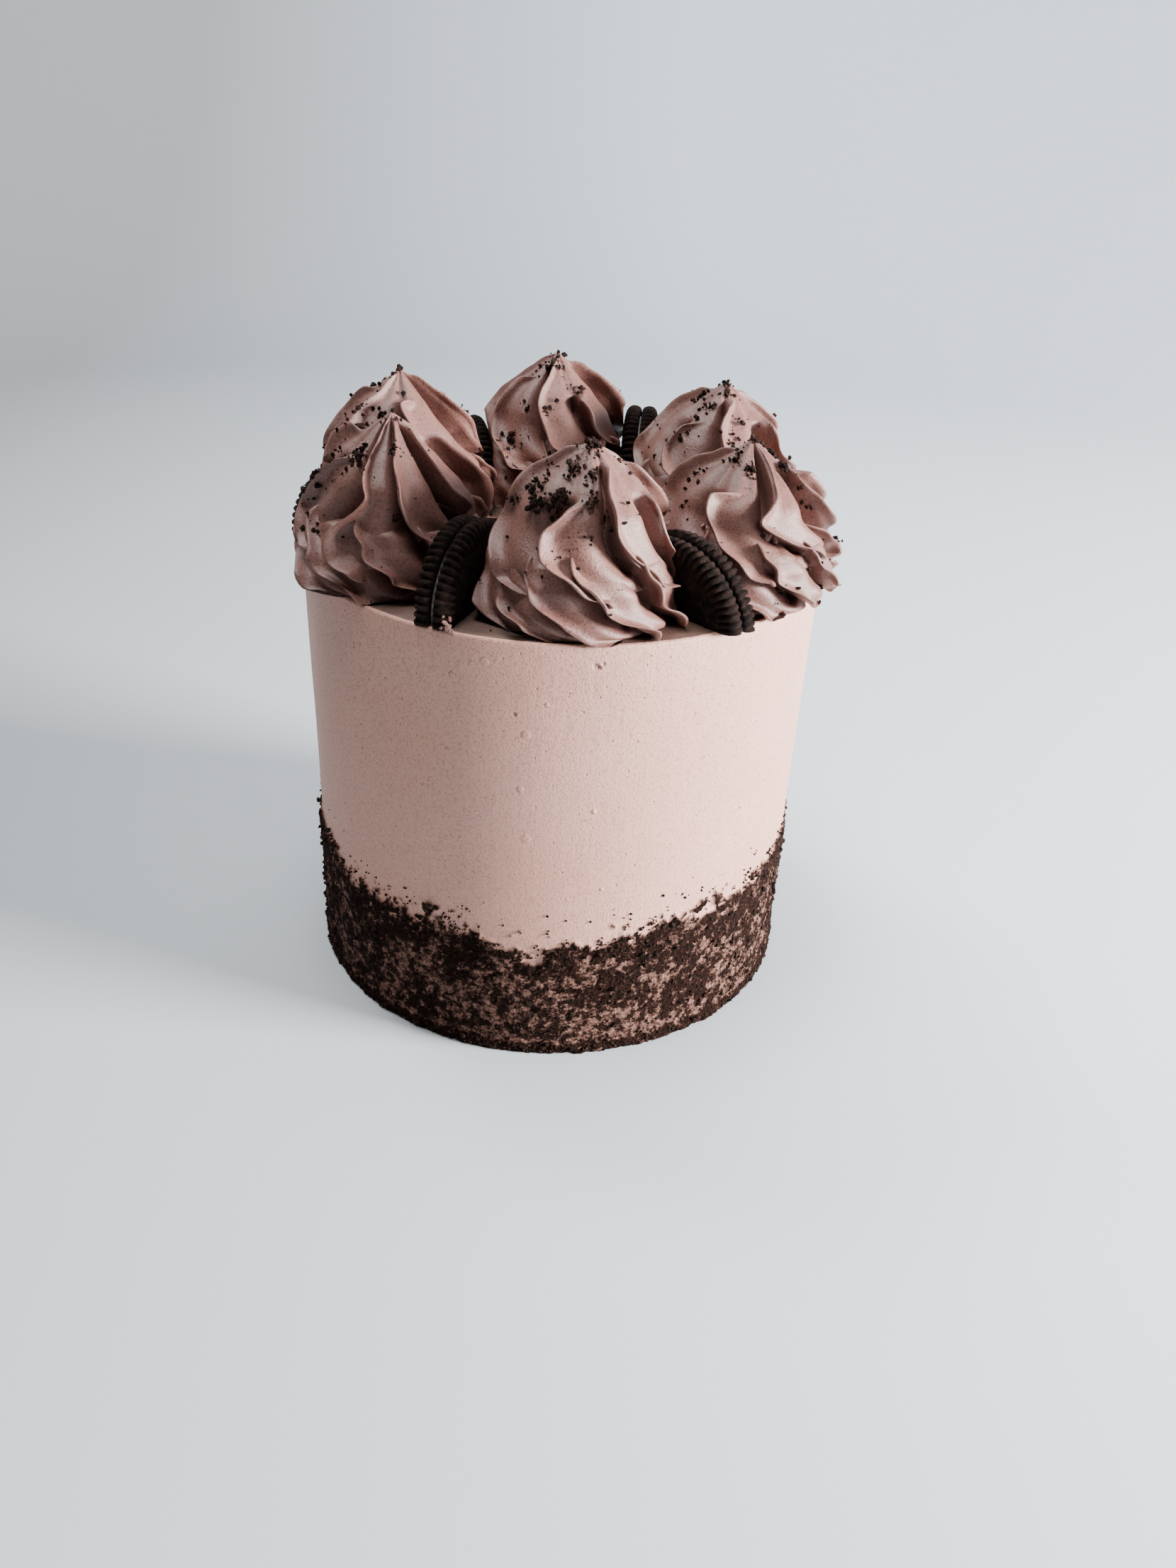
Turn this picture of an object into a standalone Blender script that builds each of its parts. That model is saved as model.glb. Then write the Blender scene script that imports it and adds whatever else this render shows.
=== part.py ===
"""Cookies and cream cake: a tall round cake under smooth cookie buttercream, with a band of
crushed cookie round its foot, six piped star swirls and six halved sandwich cookies on top.
All sizes are in metres. +Z is up, -Y faces the viewer, and the cake stands on Z = 0."""

import math
import random

import bmesh
import bpy
import numpy as np
from mathutils import Euler, Matrix, Vector
from mathutils.bvhtree import BVHTree

MM = 0.001

# Cake body
CAKE_HEIGHT = 0.1352
CAKE_TOP_RADIUS = 0.0779
CAKE_FOOT_RADIUS = 0.0768
CAKE_SIDES = 112
TOP_EDGE_ROUNDING = 0.0009

# Crushed cookie pressed round the foot of the cake
BAND_BUMP = 0.0022
BAND_ROW = 0.0055
FOOT_CRUMB_LINE = 0.0030
LOOSE_BAND_CRUMBS = 14

# Height of the band's upper edge in millimetres, by direction in degrees from +X towards +Y
BAND_EDGE = (
    (-180, 46.0), (-160, 47.0), (-150, 44.0), (-135, 41.0), (-120, 43.0), (-112, 44.0), (-103, 37.5),
    (-95, 35.0), (-88, 38.5), (-75, 41.5), (-60, 45.5), (-45, 45.5), (-30, 48.0), (-10, 50.0),
    (20, 46.0), (50, 43.0), (80, 46.0), (110, 44.0), (140, 42.0), (165, 45.0), (180, 46.0))

# Piped swirls: direction and distance of the axis from the middle of the cake, base radius,
# height, lean of the peak (x, y), turn of the folds and seed of the folds' unevenness
SWIRLS = {
    "swirl_front": dict(at=(0.0050, -0.0520), radius=0.0260, height=0.0440, lean=(0.0010, 0.0),
                        turn=0.0, seed=2.4, folds=7),
    "swirl_front_right": dict(at=(0.0500, -0.0290), radius=0.0262, height=0.0395,
                              lean=(0.0, 0.0010), turn=55.0, seed=4.4, folds=7),
    "swirl_back_right": dict(at=(0.0465, 0.0290), radius=0.0262, height=0.0420,
                             lean=(0.0020, 0.0), turn=110.0, seed=1.2, folds=6),
    "swirl_back": dict(at=(-0.0050, 0.0510), radius=0.0260, height=0.0440,
                       lean=(0.0010, 0.0), turn=20.0, seed=3.4, folds=6),
    "swirl_back_left": dict(at=(-0.0495, 0.0240), radius=0.0260, height=0.0425,
                            lean=(-0.0020, 0.0), turn=80.0, seed=5.6, folds=7),
    "swirl_front_left": dict(at=(-0.0470, -0.0280), radius=0.0264, height=0.0425,
                             lean=(-0.0005, 0.0), turn=140.0, seed=0.7, folds=7),
}

# The rope of the lower tier winds round once and a bit. Each row gives, along the rope from its
# start (0) to its end (1), the distance of its middle from the axis and its own radius as shares
# of the swirl's radius, and the height of its middle as a share of the swirl's height.
ROPE_TURNS = 1.3
ROPE_START = 1.2
ROPE_PLACES = (0.0, 0.1, 0.46, 0.77, 1.0)
ROPE_OUT = (0.42, 0.56, 0.58, 0.52, 0.385)
ROPE_UP = (0.114, 0.17, 0.193, 0.25, 0.364)
ROPE_THICK = (0.23, 0.405, 0.435, 0.423, 0.346)
ROPE_RIDGES = 4
ROPE_RIDGES_PER_TURN = 8
ROPE_RIDGE_SAG = 0.55
ROPE_RIDGE_SAG_AT = math.radians(-50)
ROPE_RIDGE_DEPTH = 0.25

# The dome of the upper tier, from its peak (0) down to where it sinks into the rope (1): radius
# and height as shares of the swirl's, depth of the folds and how far round they have wound.
DOME_PLACES = (0.0, 0.14, 0.28, 0.42, 0.57, 0.71, 0.86, 1.0)
DOME_RADII = (0.008, 0.10, 0.365, 0.615, 0.79, 0.846, 0.79, 0.46)
DOME_HEIGHTS = (1.0, 0.932, 0.807, 0.67, 0.511, 0.398, 0.307, 0.273)
FOLD_PLACES = (0.0, 0.12, 0.3, 0.5, 0.7, 0.85, 1.0)
FOLD_WIND = (0.0, -0.3, -0.2, 0.4, 1.2, 2.2, 3.6)
FOLD_DEPTH_PLACES = (0.0, 0.1, 0.35, 0.7, 0.85, 1.0)
FOLD_DEPTHS = (0.012, 0.115, 0.25, 0.33, 0.31, 0.23)
FOLD_SWAY = 0.3
FOLD_UNEVEN = 0.35
LIP_HALF_WIDTH = 0.05
LIP_CURL = 0.13

SWIRL_VOXEL = 0.0012
SWIRL_FOOT_CUT = 0.0007
PEAK_DRAW = 0.0012
SWIRL_TRIANGLES = 840
CRUMBS_PER_SWIRL = 4
CRUMB_SIZES = (0.0012, 0.0021)

# Sandwich cookies, halved and stood on the cut between the swirls
COOKIE_RADIUS = 0.0222
WAFER_THICK = 0.0040
CREAM_THICK = 0.0028
CREAM_RADIUS = 0.0200
WAFER_BEVEL = 0.0011
TOOTH_DEPTH = 0.0007
TEETH_PER_COOKIE = 74
COOKIE_JOINT = 0.00005

# Half cookies: middle of the cut edge from the middle of the cake, direction in plan that the
# cookie's plane runs in (degrees), sideways lean (degrees) and height of the disc's centre
COOKIES = {
    "cookie_front_left": dict(at=(-0.0259, -0.0504), along=68.0, lean=0.0, rise=0.0005),
    "cookie_front_right": dict(at=(0.0330, -0.0505), along=-46.0, lean=8.0, rise=-0.0006),
    "cookie_right": dict(at=(0.0579, 0.0030), along=3.0, lean=0.0, rise=0.0008),
    "cookie_back_right": dict(at=(0.0245, 0.0560), along=84.0, lean=0.0, rise=0.0060),
    "cookie_back_left": dict(at=(-0.0327, 0.0554), along=105.0, lean=0.0, rise=0.0005),
    "cookie_left": dict(at=(-0.0600, 0.0010), along=179.0, lean=0.0, rise=0.0010),
}

# Air left between neighbouring solids
SEAT_GAP = 0.00005
PRESS_GAP = 0.0009
PRESS_MARGIN = 0.0025
SWIRL_GAP = 0.0003

BUTTERCREAM = ("buttercream", (0.40, 0.30, 0.27), 0.45)
SWIRL_CREAM = ("piped_buttercream", (0.33, 0.22, 0.20), 0.42)
COOKIE_CRUST = ("cocoa_wafer", (0.020, 0.013, 0.010), 0.75)
COOKIE_FILLING = ("vanilla_cream", (0.62, 0.60, 0.55), 0.5)


def clear_scene():
    for old in list(bpy.data.objects):
        bpy.data.objects.remove(old, do_unlink=True)


def make_material(name, color, roughness):
    material = bpy.data.materials.new(name)
    material.use_nodes = True
    shader = material.node_tree.nodes["Principled BSDF"]
    shader.inputs["Base Color"].default_value = (*color, 1.0)
    shader.inputs["Roughness"].default_value = roughness
    shader.inputs["Metallic"].default_value = 0.0
    return material


def add_object(name, points, faces, material=None):
    mesh = bpy.data.meshes.new(name)
    mesh.from_pydata([tuple(map(float, p)) for p in points], [], faces)
    shape = bmesh.new()
    shape.from_mesh(mesh)
    bmesh.ops.recalc_face_normals(shape, faces=shape.faces)
    shape.to_mesh(mesh)
    shape.free()
    if material:
        mesh.materials.append(material)
    thing = bpy.data.objects.new(name, mesh)
    bpy.context.scene.collection.objects.link(thing)
    return thing


def apply_modifiers(thing):
    """Replace the object's mesh by what its modifiers make of it."""
    bpy.context.view_layer.update()
    evaluated = thing.evaluated_get(bpy.context.evaluated_depsgraph_get())
    mesh = bpy.data.meshes.new_from_object(evaluated)
    thing.modifiers.clear()
    thing.data = mesh


def rounded(at, places, values, softness=0.06, samples=801):
    """The line through the given values, with its corners rounded off."""
    grid = np.linspace(places[0], places[-1], samples)
    line = np.interp(grid, places, values)
    width = int(softness * samples) | 1
    weight = np.hanning(width + 2)[1:-1]
    padded = np.pad(line, width // 2, mode="reflect", reflect_type="odd")
    return np.interp(at, grid, np.convolve(padded, weight / weight.sum(), "valid"))


def fold_profile(phase):
    """Height, 0 to 1, of one fold: a thin lip at 0, then a long scoop down to the next lip."""
    scoop = np.clip(phase / 0.9, 0, 1) ** 0.9
    surface = 0.8 * (0.5 + 0.5 * np.cos(np.pi * scoop))
    from_lip = np.minimum(phase, 1 - phase)
    lip = np.exp(-(from_lip / LIP_HALF_WIDTH) ** 2.6)
    return 1 - (1 - surface) * (1 - lip)


def fold_phases(count):
    """Phases of one fold, set closer together near its lip."""
    grid = np.linspace(0, 1, 1001)
    density = 1 + 9 * np.exp(-(np.minimum(grid, 1 - grid) / 0.1) ** 2)
    total = np.concatenate([[0], np.cumsum((density[1:] + density[:-1]) / 2)])
    return np.interp(np.arange(count) / count, total / total[-1], grid)


def grid_faces(rows, columns):
    """Faces of a tube of rows of points, closed by a face at each end."""
    faces = []
    for i in range(rows - 1):
        for j in range(columns):
            k = (j + 1) % columns
            faces.append((i * columns + j, i * columns + k, (i + 1) * columns + k, (i + 1) * columns + j))
    faces.append(tuple(range(columns - 1, -1, -1)))
    faces.append(tuple((rows - 1) * columns + j for j in range(columns)))
    return faces


def rope_points(swirl, rows=150, per_ridge=14):
    """The lower tier: a ridged rope wound clockwise, rising as it goes."""
    radius, height, seed = swirl["radius"], swirl["height"], swirl["seed"]
    along = np.linspace(0, 1, rows)
    turns = along * ROPE_TURNS
    angle = ROPE_START + math.radians(swirl["turn"]) - 2 * np.pi * turns
    out = radius * rounded(along, ROPE_PLACES, ROPE_OUT)
    up = height * rounded(along, ROPE_PLACES, ROPE_UP)
    thick = radius * rounded(along, ROPE_PLACES, ROPE_THICK)
    middle = np.stack([out * np.cos(angle), out * np.sin(angle), up], -1)
    forward = np.gradient(middle, axis=0)
    forward /= np.linalg.norm(forward, axis=1)[:, None]
    side = np.cross([0.0, 0.0, 1.0], forward)
    side /= np.linalg.norm(side, axis=1)[:, None]
    side *= np.sign((side[:, :2] * middle[:, :2]).sum(1))[:, None]
    rise = np.cross(side, forward)
    rise *= np.sign(rise[:, 2])[:, None]

    phase_row = (np.arange(ROPE_RIDGES)[:, None] + fold_phases(per_ridge)).ravel()
    turn_grid, phase = np.meshgrid(turns, phase_row, indexing="ij")
    ridge = np.floor(phase)
    wobble = 0.16 * np.sin(2 * np.pi * turn_grid * 1.3 + 2.4 * ridge + seed)
    wobble += 0.08 * np.sin(2 * np.pi * turn_grid * 3.3 + 4.4 * ridge + seed * 2)
    wound = 2 * np.pi * (phase + ROPE_RIDGES_PER_TURN * turn_grid + wobble) / ROPE_RIDGES
    table = np.linspace(-2, 2 * np.pi * (3 + ROPE_RIDGES_PER_TURN * ROPE_TURNS / ROPE_RIDGES), 6000)
    around = np.interp(wound, table + ROPE_RIDGE_SAG * np.sin(table - ROPE_RIDGE_SAG_AT), table)

    lift = fold_profile(phase - ridge)
    depth = ROPE_RIDGE_DEPTH * radius * (1 + 0.25 * np.sin(2 * np.pi * turn_grid * 1.7 + ridge * 2.2 + seed))
    reach = thick[:, None] + depth * (lift - 0.8)
    around = around - 0.3 * lift ** 4
    points = middle[:, None, :] + reach[..., None] * (
        np.cos(around)[..., None] * side[:, None, :] + np.sin(around)[..., None] * rise[:, None, :])
    points += (LIP_CURL * 0.6 * radius * lift ** 4)[..., None] * forward[:, None, :]
    return points


def dome_points(swirl, rows=110, per_fold=20):
    """The upper tier: a dome whose folds run down from the peak in long S curves."""
    radius, height, seed, folds = swirl["radius"], swirl["height"], swirl["seed"], swirl["folds"]
    down = np.linspace(0, 1, rows)
    out = radius * rounded(down, DOME_PLACES, DOME_RADII, 0.08)
    up = height * rounded(down, DOME_PLACES, DOME_HEIGHTS, 0.08)
    up += (PEAK_DRAW + SWIRL_FOOT_CUT) * np.clip(1 - down / 0.2, 0, 1)
    slope = np.hypot(np.gradient(out), np.gradient(up))
    normal_out, normal_up = -np.gradient(up) / slope, np.gradient(out) / slope

    phase_row = (np.arange(folds)[:, None] + fold_phases(per_fold)).ravel()
    down_grid, phase = np.meshgrid(down, phase_row, indexing="ij")
    fold = np.floor(phase).astype(int)
    share = phase - fold
    number = np.arange(folds)
    widths = 1 + FOLD_UNEVEN * (0.6 * np.sin(number * 12.99 + seed * 78.2) + 0.4 * np.sin(number * 4.14 + seed * 1.7))
    starts = np.concatenate([[0], np.cumsum(widths)]) / widths.sum()
    place = starts[fold] + share * (starts[fold + 1] - starts[fold])

    def sway(lip):
        return np.sin(2 * np.pi * 1.3 * down_grid + 1.9 * (lip % folds) + seed * 3) * np.clip(down_grid * 3, 0, 1)

    swayed = FOLD_SWAY / folds * (sway(fold) * (1 - share) + sway(fold + 1) * share)
    wind = rounded(down, FOLD_PLACES, FOLD_WIND, 0.1)
    angle = 2 * np.pi * (place + swayed) + wind[:, None] + math.radians(swirl["turn"])
    lift = fold_profile(share)
    depth = radius * rounded(down, FOLD_DEPTH_PLACES, FOLD_DEPTHS, 0.08)[:, None]
    depth = depth * (1 + 0.3 * np.sin(fold * 2.1 + seed * 1.3 + 3 * down_grid)) * (lift - 0.8)
    reach = np.maximum(out[:, None] + depth * normal_out[:, None], 0.02 * MM)
    angle = angle + LIP_CURL * radius * lift ** 4 * np.clip(down_grid * 2.5, 0, 1) / np.maximum(out, 6 * MM)[:, None]
    bend = (1 - down_grid) ** 0.6
    x = reach * np.cos(angle) + swirl["lean"][0] * bend
    y = reach * np.sin(angle) + swirl["lean"][1] * bend
    return np.stack([x, y, up[:, None] + depth * normal_up[:, None]], -1)


def cookie_axes(cookie):
    """Plan direction of the cookie's plane, its normal and the way up its face."""
    along = math.radians(cookie["along"])
    direction = Vector((math.cos(along), math.sin(along), 0.0))
    flat_normal = Vector((-direction.y, direction.x, 0.0))
    tilt = Matrix.Rotation(math.radians(cookie["lean"]), 3, direction)
    return direction, tilt @ flat_normal, tilt @ Vector((0, 0, 1))


def press_aside(points, centre):
    """Push a swirl's points off the cookies and the swirls beside it, as soft cream gives way."""
    soft = 0.6 * MM
    for cookie in COOKIES.values():
        direction, normal, upward = (np.array(v) for v in cookie_axes(cookie))
        origin = np.array([*cookie["at"], CAKE_HEIGHT + cookie["rise"]])
        if math.dist(cookie["at"], centre) > 0.06:
            continue
        own_side = math.copysign(1.0, float(np.dot(np.array([*centre, CAKE_HEIGHT]) - origin, normal)))
        offset = points - origin
        away = own_side * (offset @ normal)
        reach = np.hypot(offset @ direction, offset @ upward)
        wall = WAFER_THICK + CREAM_THICK / 2 + PRESS_GAP
        blend = np.clip((reach - COOKIE_RADIUS - PRESS_MARGIN) / (5 * MM), 0, 1)
        wall = wall - (0.5 - 0.5 * np.cos(np.pi * blend)) * 0.012
        pushed = wall + soft * np.log1p(np.exp(np.clip((away - wall) / soft, -30, 30)))
        points = points + (np.where(away < wall + 6 * soft, pushed - away, 0.0) * own_side)[..., None] * normal
    for other in SWIRLS.values():
        gap = np.array([*other["at"], 0.0]) - np.array([*centre, 0.0])
        distance = np.linalg.norm(gap)
        if distance < 1 * MM or distance > 0.056:
            continue
        toward = gap / distance
        room = distance / 2 - SWIRL_GAP - ((points - np.array([*centre, 0.0])) @ toward)
        pushed = soft * np.log1p(np.exp(np.clip(room / soft, -30, 30)))
        points = points - np.where(room < 6 * soft, pushed - room, 0.0)[..., None] * toward
    return points


def swirl_shell(swirl):
    """Points and faces of the rope, the dome and a core that fills the middle."""
    cx, cy = swirl["at"]
    foot = CAKE_HEIGHT + SEAT_GAP - SWIRL_FOOT_CUT
    points, faces = [], []
    start = 0
    for shell in (rope_points(swirl), dome_points(swirl)):
        rows, columns = shell.shape[:2]
        shell[..., 2] = np.maximum(shell[..., 2], 0.0)
        placed = shell.reshape(-1, 3) + np.array([cx, cy, foot])
        points.append(press_aside(placed, swirl["at"]))
        faces += [tuple(start + i for i in face) for face in grid_faces(rows, columns)]
        start += rows * columns
    sides = 24
    ring = [2 * math.pi * i / sides for i in range(sides)]
    core_radius, core_top = 0.5 * swirl["radius"], 0.5 * swirl["height"]
    core = [(core_radius * math.cos(a), core_radius * math.sin(a), z) for z in (0.0, core_top) for a in ring]
    points.append(np.array(core) + np.array([cx, cy, foot]))
    faces += [tuple(start + i for i in face) for face in grid_faces(2, sides)]
    return np.concatenate(points), faces


def make_crumb(name, size, rng):
    """One broken cookie crumb: a small lump with uneven corners."""
    shape = bmesh.new()
    bmesh.ops.create_icosphere(shape, subdivisions=1, radius=size)
    for vert in shape.verts:
        vert.co *= rng.uniform(0.75, 1.2)
    mesh = bpy.data.meshes.new(name)
    shape.to_mesh(mesh)
    shape.free()
    crumb = bpy.data.objects.new(name, mesh)
    bpy.context.scene.collection.objects.link(crumb)
    crumb.rotation_euler = Euler([rng.uniform(0, 6.28) for _ in range(3)])
    return crumb


def fuse(body, crumbs):
    """Join the crumbs to the body with one union, then remove them."""
    group = bpy.data.collections.new(body.name + "_crumbs")
    bpy.context.scene.collection.children.link(group)
    for crumb in crumbs:
        bpy.context.scene.collection.objects.unlink(crumb)
        group.objects.link(crumb)
    union = body.modifiers.new("crumbs", "BOOLEAN")
    union.operation = "UNION"
    union.operand_type = "COLLECTION"
    union.collection = group
    union.solver = "MANIFOLD"
    apply_modifiers(body)
    for crumb in crumbs:
        bpy.data.objects.remove(crumb, do_unlink=True)
    bpy.data.collections.remove(group)


def keep_largest_piece(thing):
    """Drop loose scraps, so that one closed body is left."""
    shape = bmesh.new()
    shape.from_mesh(thing.data)
    bmesh.ops.remove_doubles(shape, verts=shape.verts, dist=0.00002)
    left = set(shape.verts)
    largest = set()
    while left:
        piece, queue = set(), [next(iter(left))]
        while queue:
            vert = queue.pop()
            if vert in piece:
                continue
            piece.add(vert)
            queue += [edge.other_vert(vert) for edge in vert.link_edges]
        left -= piece
        if len(piece) > len(largest):
            largest = piece
    scraps = [vert for vert in shape.verts if vert not in largest]
    bmesh.ops.delete(shape, geom=scraps, context="VERTS")
    shape.to_mesh(thing.data)
    shape.free()


def is_clean(mesh):
    """True for one closed skin whose faces don't cross."""
    shape = bmesh.new()
    shape.from_mesh(mesh)
    closed = all(edge.is_manifold for edge in shape.edges) and all(vert.is_manifold for vert in shape.verts)
    shape.faces.ensure_lookup_table()
    corners = [{vert.index for vert in face.verts} for face in shape.faces]
    crossings = [pair for pair in BVHTree.FromBMesh(shape).overlap(BVHTree.FromBMesh(shape))
                 if not corners[pair[0]] & corners[pair[1]]]
    shape.free()
    return closed and not crossings


def thin_out(thing, swirl):
    """Thin a swirl's skin to the fewest triangles, from the wanted number up, that keep it clean."""
    dense = thing.data
    for extra in range(0, 240, 12):
        thing.data = dense
        thin = thing.modifiers.new("thin", "DECIMATE")
        thin.ratio = (SWIRL_TRIANGLES + extra) / len(dense.polygons)
        thin.use_collapse_triangulate = True
        apply_modifiers(thing)
        set_down(thing, swirl)
        keep_largest_piece(thing)
        if is_clean(thing.data):
            break


def cut_level(shape, height):
    """Cut a closed shape off level at a height and close the cut."""
    cut = bmesh.ops.bisect_plane(shape, geom=shape.verts[:] + shape.edges[:] + shape.faces[:],
                                 plane_co=(0, 0, height), plane_no=(0, 0, 1), clear_inner=True)
    edges = [item for item in cut["geom_cut"] if isinstance(item, bmesh.types.BMEdge)]
    bmesh.ops.triangle_fill(shape, use_beauty=True, edges=edges)
    bmesh.ops.remove_doubles(shape, verts=shape.verts, dist=0.00002)
    bmesh.ops.triangulate(shape, faces=shape.faces)
    bmesh.ops.recalc_face_normals(shape, faces=shape.faces)


def set_down(thing, swirl):
    """Clear a thinned swirl of its neighbours again and level its foot."""
    points = np.array([tuple(v.co) for v in thing.data.vertices])
    points = press_aside(points, swirl["at"])
    floor = CAKE_HEIGHT + SEAT_GAP
    points[:, 2] = np.where(points[:, 2] < floor + 0.25 * MM, floor, points[:, 2])
    for vert, point in zip(thing.data.vertices, points):
        vert.co = point


def scatter_crumbs(thing, lowest):
    """Fuse a few crumbs to the upper part of a swirl, drawn again until its skin stays clean."""
    bare = thing.data
    upper = [v.co.copy() for v in bare.vertices if v.co.z > lowest]
    for draw in range(8):
        rng = random.Random(f"{thing.name} {draw}")
        thing.data = bare.copy()
        crumbs = []
        spots = [max(upper, key=lambda spot: spot.z)] + rng.sample(upper, CRUMBS_PER_SWIRL - 1)
        for i, spot in enumerate(spots):
            crumb = make_crumb(f"{thing.name}_crumb_{i}", rng.uniform(*CRUMB_SIZES), rng)
            crumb.location = spot
            crumbs.append(crumb)
        fuse(thing, crumbs)
        keep_largest_piece(thing)
        if is_clean(thing.data):
            break


def make_swirl(name, swirl, material):
    points, faces = swirl_shell(swirl)
    thing = add_object(name, points, faces)
    remesh = thing.modifiers.new("skin", "REMESH")
    remesh.mode = "VOXEL"
    remesh.voxel_size = SWIRL_VOXEL
    smooth = thing.modifiers.new("smooth", "SMOOTH")
    smooth.factor = 0.5
    smooth.iterations = 3
    apply_modifiers(thing)
    keep_largest_piece(thing)
    shape = bmesh.new()
    shape.from_mesh(thing.data)
    cut_level(shape, CAKE_HEIGHT + SEAT_GAP)
    shape.to_mesh(thing.data)
    shape.free()
    thin_out(thing, swirl)
    scatter_crumbs(thing, CAKE_HEIGHT + 0.62 * swirl["height"])
    thing.data.materials.clear()
    thing.data.materials.append(material)
    thing.data.shade_smooth()
    thing.data.set_sharp_from_angle(angle=math.radians(50))
    return thing


def band_top(angle):
    """Height of the ragged upper edge of the crumb band."""
    degrees = (math.degrees(angle) + 180) % 360 - 180
    directions, heights = zip(*BAND_EDGE)
    return float(np.interp(degrees, directions, heights)) * MM


def make_cake(material):
    rng = random.Random("band")
    rows = [0.0]
    while rows[-1] < max(height for _, height in BAND_EDGE) * MM:
        rows.append(rows[-1] + BAND_ROW)
    rows += [CAKE_HEIGHT - TOP_EDGE_ROUNDING, CAKE_HEIGHT - 0.3 * TOP_EDGE_ROUNDING, CAKE_HEIGHT]
    insets = [0.0] * (len(rows) - 2) + [0.3 * TOP_EDGE_ROUNDING, TOP_EDGE_ROUNDING]
    points = []
    for z, inset in zip(rows, insets):
        radius = CAKE_FOOT_RADIUS + (CAKE_TOP_RADIUS - CAKE_FOOT_RADIUS) * z / CAKE_HEIGHT - inset
        for side in range(CAKE_SIDES):
            angle = 2 * math.pi * side / CAKE_SIDES
            bump = 0.0
            if z < band_top(angle):
                bump = BAND_BUMP * rng.uniform(0.1, 1.0)
            if z < FOOT_CRUMB_LINE:
                bump = BAND_BUMP * rng.uniform(0.55, 1.0)
            points.append(((radius + bump) * math.cos(angle), (radius + bump) * math.sin(angle), z))
    cake = add_object("cake", points, grid_faces(len(rows), CAKE_SIDES))
    crumbs = []
    for i in range(LOOSE_BAND_CRUMBS):
        angle = 2 * math.pi * (i + rng.uniform(0.1, 0.9)) / LOOSE_BAND_CRUMBS
        z = band_top(angle) + rng.uniform(1.0, 7.0) * MM
        radius = CAKE_FOOT_RADIUS + (CAKE_TOP_RADIUS - CAKE_FOOT_RADIUS) * z / CAKE_HEIGHT
        crumb = make_crumb(f"band_crumb_{i}", rng.uniform(*CRUMB_SIZES), rng)
        crumb.location = (radius * math.cos(angle), radius * math.sin(angle), z)
        crumbs.append(crumb)
    fuse(cake, crumbs)
    keep_largest_piece(cake)
    cake.data.materials.clear()
    cake.data.materials.append(material)
    cake.data.shade_smooth()
    cake.data.set_sharp_from_angle(angle=math.radians(40))
    return cake


def place_on_cookie(cookie, across, reach, turn):
    """A point of a cookie from its distance across the thickness and its polar place on the disc."""
    direction, normal, upward = cookie_axes(cookie)
    origin = Vector((*cookie["at"], CAKE_HEIGHT + cookie["rise"]))
    return origin + across * normal + reach * (math.cos(turn) * direction + math.sin(turn) * upward)


def half_disc(name, cookie, near, far, radius_near, radius_far, teeth, material):
    """A disc slice between two distances across the cookie, cut level with the top of the cake."""
    steps = TEETH_PER_COOKIE if teeth else 20
    lowest = -math.asin(min(1.0, (cookie["rise"] + 3 * MM) / COOKIE_RADIUS))
    turns = [lowest + (math.pi - 2 * lowest) * i / steps for i in range(steps + 1)]
    points = []
    for across, radius in ((near, radius_near), (far, radius_far)):
        for i, turn in enumerate(turns):
            reach = radius - (TOOTH_DEPTH if teeth and i % 2 else 0.0)
            points.append(place_on_cookie(cookie, across, reach, turn))
    count = len(turns)
    faces = [(i, i + 1, count + i + 1, count + i) for i in range(count - 1)]
    faces += [(count - 1, 0, count, 2 * count - 1)]
    faces += [tuple(range(count - 1, -1, -1)), tuple(range(count, 2 * count))]
    thing = add_object(name, points, faces, material)
    shape = bmesh.new()
    shape.from_mesh(thing.data)
    cut_level(shape, CAKE_HEIGHT + SEAT_GAP)
    shape.to_mesh(thing.data)
    shape.free()
    return thing


def make_cookie(name, cookie, crust, filling):
    inner = CREAM_THICK / 2
    outer = inner + WAFER_THICK
    half_disc(name + "_wafer_a", cookie, -outer, -inner, COOKIE_RADIUS - WAFER_BEVEL, COOKIE_RADIUS, True, crust)
    half_disc(name + "_wafer_b", cookie, inner, outer, COOKIE_RADIUS, COOKIE_RADIUS - WAFER_BEVEL, True, crust)
    half_disc(name + "_cream", cookie, COOKIE_JOINT - inner, inner - COOKIE_JOINT,
              CREAM_RADIUS, CREAM_RADIUS, False, filling)


def centre_on_origin():
    """Bring the middle of the whole cake's outline over the origin."""
    things = [thing for thing in bpy.context.scene.objects if thing.type == "MESH"]
    corners = np.array([tuple(v.co) for thing in things for v in thing.data.vertices])
    middle = (corners.min(0) + corners.max(0)) / 2
    shift = Matrix.Translation((-middle[0], -middle[1], -corners[:, 2].min()))
    for thing in things:
        thing.data.transform(shift)


def main():
    clear_scene()
    buttercream = make_material(*BUTTERCREAM)
    swirl_cream = make_material(*SWIRL_CREAM)
    crust = make_material(*COOKIE_CRUST)
    filling = make_material(*COOKIE_FILLING)
    make_cake(buttercream)
    for name, swirl in SWIRLS.items():
        make_swirl(name, swirl, swirl_cream)
    for name, cookie in COOKIES.items():
        make_cookie(name, cookie, crust, filling)
    centre_on_origin()


if __name__ == "__main__":
    main()
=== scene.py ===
import math
from functools import partial

import bmesh
import bpy
import numpy as np
from mathutils import Matrix, Vector


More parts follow.
